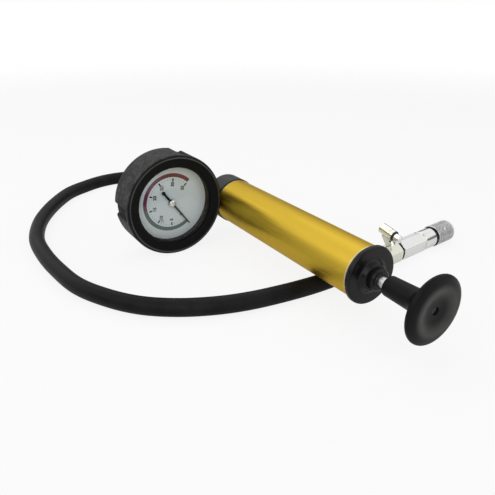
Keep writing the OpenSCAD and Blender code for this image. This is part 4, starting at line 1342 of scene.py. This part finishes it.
@dataclass
class Gauge:
    """The dial gauge in its rubber boot. Heights are from the dial's face.

    Angles on the dial run clockwise from its top. A tick is half its width in degrees and its
    length.
    """

    boot_r: float = 39.0
    back: float = -17.9
    front: float = 10.3
    back_hole_r: float = 20.0
    lip_r: float = 30.4
    lip_z: float = 7.4
    bezel_r: float = 32.2
    bezel_z: float = 1.2
    case_r: float = 31.4
    case_z: float = -16.3
    boot_step: float = 0.9
    boot_columns: int = 480
    grooves: int = 3
    groove_deg: float = 14.0
    groove_depth: float = 1.8
    groove_at: float = 80.0
    groove_turn: float = 112.0
    groove_end: float = 4.6
    groove_soft: float = 0.8
    stem_z: float = -8.2
    stem_hole_r: float = 10.5
    stem_hole: Pair = (20.0, 50.0)
    scale_r: float = 18.9
    band: Pair = (20.0, 23.0)
    band_change: float = 0.45
    ink: Pair = (0.01, 0.04)
    sweep: float = 262.0
    zero: float = 225.0
    steps: int = 7
    parts: int = 5
    major: Pair = (1.8, 2.5)
    minor: Pair = (0.4, 1.0)
    number_step: int = 5
    number_r: float = 14.2
    number_h: float = 3.6
    number_z: float = 0.03
    number_t: float = 0.015
    number_bold: float = 0.16

    def boot(self) -> None:
        """The boot: its profile turned round, with the outer wall pressed in at the grip grooves.

        A groove's press is 1 within half its width of its middle, and it fades out at the wall's
        inside and short of the front.
        """
        r, back, front, soft = self.boot_r, self.back, self.front, self.groove_soft
        wall = [(self.back_hole_r, back, 0.5), (r, back, 3.0), (r, front - 2, 0.8),
                (r - 0.4, front - 1.2, 0.6), (r - 2, front, 1.4), (r - 3.2, front - 0.2, 0.8),
                (self.lip_r, self.lip_z + 0.9, 0.5), (self.lip_r, self.lip_z, 0.2),
                (self.bezel_r, self.lip_z, 0.1), (self.bezel_r, self.bezel_z, 0.1),
                (self.case_r, self.bezel_z, 0.1), (self.case_r, self.case_z, 0.1),
                (self.back_hole_r, self.case_z, 0.4)]
        profile = filled(rounded(wall, closed=True, steps=5), self.boot_step)
        grid = revolve(profile, self.boot_columns)
        angle = np.degrees(np.arctan2(grid[..., 1], grid[..., 0]))
        radius, height = np.hypot(grid[..., 0], grid[..., 1]), grid[..., 2]
        press = np.zeros_like(angle)
        half = self.groove_deg / 2
        for i in range(self.grooves):
            # The grooves' angles run from the stem, a quarter turn on from the dial's right
            middle = self.groove_at + i * self.groove_turn - 90
            off = np.abs((angle - middle + 180) % 360 - 180)
            press = np.maximum(press, 1 - smooth(off, half - soft, half + soft))
        end = front - self.groove_end
        outside = smooth(radius, r - 3.5, r - 0.5) * (1 - smooth(height, end - soft, end + soft))
        inwards = press * outside * self.groove_depth / np.maximum(radius, 1)
        grid[..., :2] *= (1 - inwards)[..., None]
        made = Piece("boot_shell", GAUGE).add(grid, ring=True).make(
            BOOT_RUBBER, Body.PUMP, ["gauge_boot"], "boot_rubber", crease=60)
        self.cut_stem_hole(made)

    def cut_stem_hole(self, boot: bpy.types.Object) -> None:
        """Cut the hole for the stem through the side of the boot that faces the barrel.

        Args:
            boot: The boot.
        """
        hole = GAUGE.along((0, 0, self.stem_z), (1, 0, 0), (0, 0, 1), (0, -1, 0))
        r, (near, far) = self.stem_hole_r, self.stem_hole
        drill = Piece("drill", hole).lathe([(0, near, 0), (r, near, 0), (r, far, 0), (0, far, 0)])
        cutter = drill.make(BOOT_RUBBER, Body.PUMP)
        cut = boot.modifiers.new("stem_hole", "BOOLEAN")
        cut.operation, cut.object, cut.solver = "DIFFERENCE", cutter, "EXACT"
        graph = bpy.context.evaluated_depsgraph_get()
        mesh = bpy.data.meshes.new_from_object(boot.evaluated_get(graph))
        boot.modifiers.clear()
        boot.data = mesh
        bpy.data.objects.remove(cutter)

    def prints(self, name: str, bars: Sequence[tuple[float, float, float, float]],
               finish: Finish) -> None:
        """Printed bars on the dial: each a patch of angle and radius, as thick as the ink.

        Args:
            name: Name of the piece.
            bars: Rows of first and last angle and both radii.
            finish: The ink.
        """
        ink = Piece(name, GAUGE)
        low, high = self.ink
        for first, last, r0, r1 in bars:
            count = max(2, int(abs(last - first) / 2) + 2)
            a = np.radians(90 - np.linspace(first, last, count))[:, None]
            edge = np.array([(r0, low), (r1, low), (r1, high), (r0, high)])
            r, h = edge[:, 0], edge[:, 1]
            rows = np.stack([r * np.cos(a), r * np.sin(a), h + 0 * a], -1)
            middle = rows.mean(1, keepdims=True)[[0, -1]] + 0 * rows[[0, -1]]
            ink.add(np.concatenate([middle[:1], rows, middle[1:]]))
        ink.make(finish, Body.PUMP, slot="dial_white")

    def numbers(self) -> None:
        """Plain numbers of the scale, set upright on the dial."""
        shape = bmesh.new()
        for i in range(self.steps + 1):
            words = bpy.data.curves.new("number", "FONT")
            words.body = str(self.number_step * i)
            words.align_x, words.align_y = "CENTER", "CENTER"
            words.size, words.extrude = self.number_h, self.number_t
            words.offset = self.number_bold
            text = bpy.data.objects.new("number", words)
            bpy.context.scene.collection.objects.link(text)
            graph = bpy.context.evaluated_depsgraph_get()
            graph.update()
            part = bpy.data.meshes.new_from_object(text.evaluated_get(graph))
            c, s = turned(90 - self.zero - self.sweep * i / self.steps)
            spot = (self.number_r * c, self.number_r * s, self.number_z)
            part.transform(Matrix.Translation(spot))
            shape.from_mesh(part)
            bpy.data.objects.remove(text)
        mesh = bpy.data.meshes.new("dial_numbers")
        shape.to_mesh(mesh)
        shape.free()
        turn = Matrix(np.array([GAUGE.x, GAUGE.y, GAUGE.z]).T.tolist()).to_4x4()
        at = Matrix.Translation(np.array(GAUGE.origin) * MM)
        mesh.transform(at @ turn @ Matrix.Scale(MM, 4))
        dress(link("dial_numbers", mesh, 30), INK_BLACK, Body.PUMP)

    def ticks(self, stations: Sequence[float], tick: Pair) -> list[tuple[float, ...]]:
        """Bars of the ticks at some stations, which end on the scale's circle.

        Args:
            stations: Places on the scale, in its steps.
            tick: Half width in degrees and length.

        Returns:
            Rows for prints.
        """
        half, length = tick
        angles = [self.zero + station * self.sweep / self.steps for station in stations]
        return [(a - half, a + half, self.scale_r - length, self.scale_r) for a in angles]

    def scale(self) -> None:
        """Ticks, coloured bands and numbers."""
        between = [i / self.parts for i in range(self.steps * self.parts) if i % self.parts]
        self.prints("dial_major_ticks", self.ticks(range(self.steps + 1), self.major), INK_BLACK)
        self.prints("dial_minor_ticks", self.ticks(between, self.minor), INK_GREY)
        change, end = self.zero + self.band_change * self.sweep, self.zero + self.sweep
        self.prints("dial_green_band", [(self.zero, change, *self.band)], INK_GREEN)
        self.prints("dial_red_band", [(change, end, *self.band)], INK_RED)
        self.numbers()

    def hub(self) -> None:
        """Bright cap on the pointer's hub."""
        cap = [(0, 2.72, 0), (2.6, 2.72, 0.1), (2.6, 3.4, 0.4), (1.0, 4.0, 0.6), (0, 4.0, 0)]
        Piece("pointer_cap", GAUGE).lathe(cap, columns=64).make(
            NICKEL, Body.POINTER, slot="pointer_black")

    def build(self) -> None:
        """Make the gauge's visible pieces."""
        self.boot()
        self.scale()
        self.hub()


# Fitting

@dataclass
class Fitting:
    """Release valve and quick coupler on the hose's end. Pairs are stations along its axis."""

    flats: float = 14.5
    hex_roll: float = 5.5
    hex_columns: int = 360
    corner_share: float = 0.992
    face_inset: float = 0.25
    valve: Pair = (-24.0, -1.0)
    coupler: Pair = (1.0, 27.7)
    coupler_bore: float = 4.25
    collar_r: float = 7.8
    collar_end: float = 42.0
    sleeve: Pair = (44.5, 66.2)
    sleeve_r: float = 8.5
    sleeve_rear: float = 0.6
    sleeve_nose: float = 1.6
    mouth_r: float = 7.2
    spring_r: float = 7.6
    land: Pair = (55.0, 62.0)
    land_r: float = 6.08
    nose_r: float = 6.0
    nose_out: float = 2.4
    socket_r: float = 4.75
    socket_from: float = 6.0
    bleed_r: float = 2.2
    release_at: Point = (-10.4, -18.0, -7.0)
    release_tilt: float = 15.0
    button_bore: float = 2.95
    web_half: float = 2.5
    web_edge: float = 0.4
    web_inset: float = 0.94
    knurls: int = 24
    knurl_columns: int = 8
    knurl_rows: int = 150
    knurl_deep: float = 0.7
    knurl_slope: float = 0.85
    knurl_steep: float = 1.6
    knurl_rear: Pair = (0.7, 1.5)
    knurl_front: Pair = (2.9, 2.1)
    pin: Point = (54.5, -45.0, 1.0)
    pin_edge: float = 0.3

    def release_axes(self) -> tuple[Point, Point, Point]:
        """Axes of the release valve's tube in the fitting's frame, z pointing out of its button."""
        c, s = turned(self.release_tilt)
        return (0, 0, 1), (s, -c, 0), (c, s, 0)

    def hexagon(self, first: float, last: float, inner: float, blend: float = 0.12) -> Array:
        """Hexagonal bar with turned-off corners, as a closed grid.

        The radius at angle a is half the flats over the cosine of the angle to the nearest side,
        cut by a cone of 30 degrees at both ends, with the meeting edges rounded over blend.

        Args:
            first: Start along the axis.
            last: End along the axis.
            inner: Radius of the hole through it.
            blend: Rounding of its edges.

        Returns:
            Grid of points.
        """
        half, sixth = self.flats / 2, math.pi / 6
        corner = half / math.cos(sixth)
        # Rows lie close together where the cones cut the corners
        close = np.concatenate([np.linspace(0, 1.4, 15), [2.2]])
        open_rows = np.linspace(first + 4, last - 4, 6)
        rows = np.concatenate([first + close, open_rows, (last - close)[::-1]])
        a = np.linspace(0, TAU, self.hex_columns, endpoint=False)[None, :]
        side = (a + sixth) % (2 * sixth) - sixth
        flat = soft_min(half / np.cos(side), np.full_like(side, corner * self.corner_share), blend)
        inset = np.minimum(rows - first, last - rows)[:, None]
        cone = half - self.face_inset + inset / math.tan(sixth)
        r = soft_min(flat + 0 * inset, cone + 0 * a, blend * 0.6)
        rows = np.concatenate([[first], rows, [last]])[:, None]
        r = np.concatenate([np.full_like(a, inner), r, np.full_like(a, inner)])
        turn = a + math.radians(self.hex_roll)
        return np.stack([r * np.cos(turn), r * np.sin(turn), rows + 0 * a], -1)

    def web(self) -> Array:
        """The web between the hexagon and the tube: its outline carried across its thickness.

        Returns:
            Grid of points, whose outline is drawn in a little at both faces.
        """
        outline = rounded([(-2.5, -5, 0.3), (4, -5, 0.3), (-2.44, -12.55, 1.5),
                           (-9.6, -14.47, 0.8)], closed=True)
        middle, station = outline.mean(0), self.release_at[2]
        out, flat = self.web_half, self.web_half - self.web_edge
        rows = ((0, -out), (self.web_inset, -out), (1, -flat), (1, flat), (self.web_inset, out),
                (0, out))
        return np.stack([np.insert(middle + (outline - middle) * share, 2, station + s, axis=1)
                         for share, s in rows])

    def valve_block(self) -> bpy.types.Object:
        """The release valve's body: a hexagon with a hose tail, and a web that carries a tube.

        Returns:
            The body.
        """
        start, end = self.valve
        bore, button = self.bleed_r, self.button_bore
        tail = [(bore, -24, 0), (3.1, -24, 0.2), (3.1, -10, 0.1), (6.3, -10, 0.2),
                (6.8, -9.4, 0.2), (6.8, -2.6, 0.15), (6.2, -2.2, 0.1), (6.2, -1.4, 0.1),
                (6.6, -1, 0.1), (6.6, 0.5, 0), (bore, 0.5, 0)]
        spigot = [(bore, -0.5, 0), (4.2, -0.5, 0), (4.2, 9, 0.3), (bore, 9, 0)]
        release = [(button, 0, 0), (3.9, 0, 0.4), (3.9, 8.6, 0.1), (3.6, 8.8, 0.05),
                   (3.6, 9.4, 0.05), (3.9, 9.6, 0.1), (3.9, 11.6, 0.3), (button, 11.6, 0.1)]
        block = Piece("valve_block", FITTING).add(self.hexagon(start, end, bore), ring=True)
        block.lathe(moved(tail, start), ring=True)
        block.lathe(moved(spigot, end), ring=True)
        block.add(self.web())
        pipe = revolve(rounded(release, closed=True), 72) @ np.array(self.release_axes())
        block.add(pipe + np.array(self.release_at), ring=True)
        return block.make(WARM_NICKEL, Body.PUMP, ["valve_body"], "nickel", crease=35)

    def coupler_body(self) -> bpy.types.Object:
        """The coupler's body: a hexagon, a polished collar and the nose with its socket.

        Returns:
            The body.
        """
        start, end = self.coupler
        bleed, collar, nose, socket = self.bleed_r, self.collar_r, self.nose_r, self.socket_r
        rim, tip = self.collar_end, self.sleeve[1] + self.nose_out
        floor_z = rim + self.socket_from
        body = Piece("coupler_turned", FITTING)
        body.add(self.hexagon(start, end, self.coupler_bore), ring=True)
        body.lathe([(bleed, start + 7.4, 0), (5, start + 7.4, 0), (5, end - 0.3, 0),
                    (6.9, end - 0.3, 0), (6.9, end + 0.7, 0.1), (collar - 0.3, end + 0.7, 0.1),
                    (collar, end + 1.1, 0.15), (collar, rim - 0.6, 0.2), (collar - 0.5, rim, 0.1),
                    (nose, rim, 0.1), (nose, tip, 0.4), (socket, tip, 0.5), (socket, floor_z, 0.1),
                    (bleed, floor_z, 0)], ring=True, columns=120)
        return body.make(NICKEL, Body.PUMP, ["coupler_body"], "nickel", crease=35)

    def knurled_sleeve(self) -> bpy.types.Object:
        """The sleeve: two crossed sets of helical grooves leave pyramids, with a pin's plain head.

        The height at angle a and station s is the smaller of the distances to the nearest groove of
        each set. One set lies where n a / 2 pi + s / pitch is a whole number, and the other where
        n a / 2 pi - s / pitch is.

        Returns:
            The sleeve.
        """
        start, end = self.sleeve
        r, columns = self.sleeve_r, self.knurls * self.knurl_columns
        first, last = start + self.sleeve_rear, end - self.sleeve_nose
        rows = np.linspace(first, last, self.knurl_rows)[:, None]
        a = np.linspace(0, TAU, columns, endpoint=False)[None, :]
        pitch = TAU * r / self.knurls * self.knurl_slope
        turn, run = self.knurls * a / TAU, rows / pitch
        fold = [np.abs((turn + way * run) % 1 * 2 - 1) for way in (1, -1)]
        high = np.minimum(1 - fold[0], 1 - fold[1]) * self.knurl_steep
        rear, front = self.knurl_rear, self.knurl_front
        band = (smooth(rows, start + rear[0], start + rear[1])
                * (1 - smooth(rows, end - front[0], end - front[1])))
        at, angle, size = self.pin
        away = np.hypot(rows - at, r * ((a - math.radians(angle) + math.pi) % TAU - math.pi))
        plain = smooth(away, size, size + self.pin_edge)
        grid_r = r - self.knurl_deep * (1 - np.minimum(high, 1)) * band * plain
        outer = np.stack([grid_r * np.cos(a), grid_r * np.sin(a), rows + 0 * a], -1)
        mouth, land, spring = self.mouth_r, self.land_r, self.spring_r
        inside = revolve(rounded([
            (r, last, 0), (r - 1.1, end, 0.4), (mouth, end, 0.2), (mouth, self.land[1], 0.1),
            (land, self.land[1], 0.1), (land, self.land[0], 0.1), (spring, self.land[0], 0.1),
            (spring, start, 0.2), (r - 0.4, start, 0.3), (r, first, 0)]), columns)
        piece = Piece("sleeve_knurl", FITTING).add(np.concatenate([outer, inside[1:-1]]), ring=True)
        return piece.make(KNURL_STEEL, Body.SLEEVE, ["coupler_sleeve"], "knurled_steel", crease=70)

    def springs(self) -> list[bpy.types.Object]:
        """The springs behind the release button and inside the sleeve.

        Returns:
            Both springs.
        """
        release = FITTING.along(self.release_at, *self.release_axes())
        wound = [
            Spring("release_spring", "release_press", release, coil_r=2.3, wire=0.3,
                   ends=(1.53, 5.97), turns=4, travel=2.2),
            Spring("sleeve_spring", "coupler_draw", FITTING, coil_r=6.8, wire=0.4,
                   ends=(44.53, 54.97), turns=4, travel=2.2)]
        return [spring.build() for spring in wound]

    def build(self) -> list[bpy.types.Object]:
        """Make the fitting's pieces.

        Returns:
            The pieces and CAD nodes on the hose's far end.
        """
        made = [self.valve_block(), self.coupler_body(), self.knurled_sleeve(), *self.springs()]
        nodes = ["valve_ferrule", "release_button", "button_ring", "release_plug", "body_ring",
                 "coupler_seal", "sleeve_ring", "lock_balls", "retaining_ring"]
        return made + [frame["nodes"][n] for n in nodes]


def main() -> None:
    """Build the studio, the hose and the sub-assemblies in order."""
    logging.basicConfig(level=logging.INFO, format="%(message)s")
    Studio().build()
    dress_frame()
    fitting = Fitting().build()
    Hose().build(fitting)
    Pump().build()
    Gauge().build()


if __name__ == "__main__":
    main()
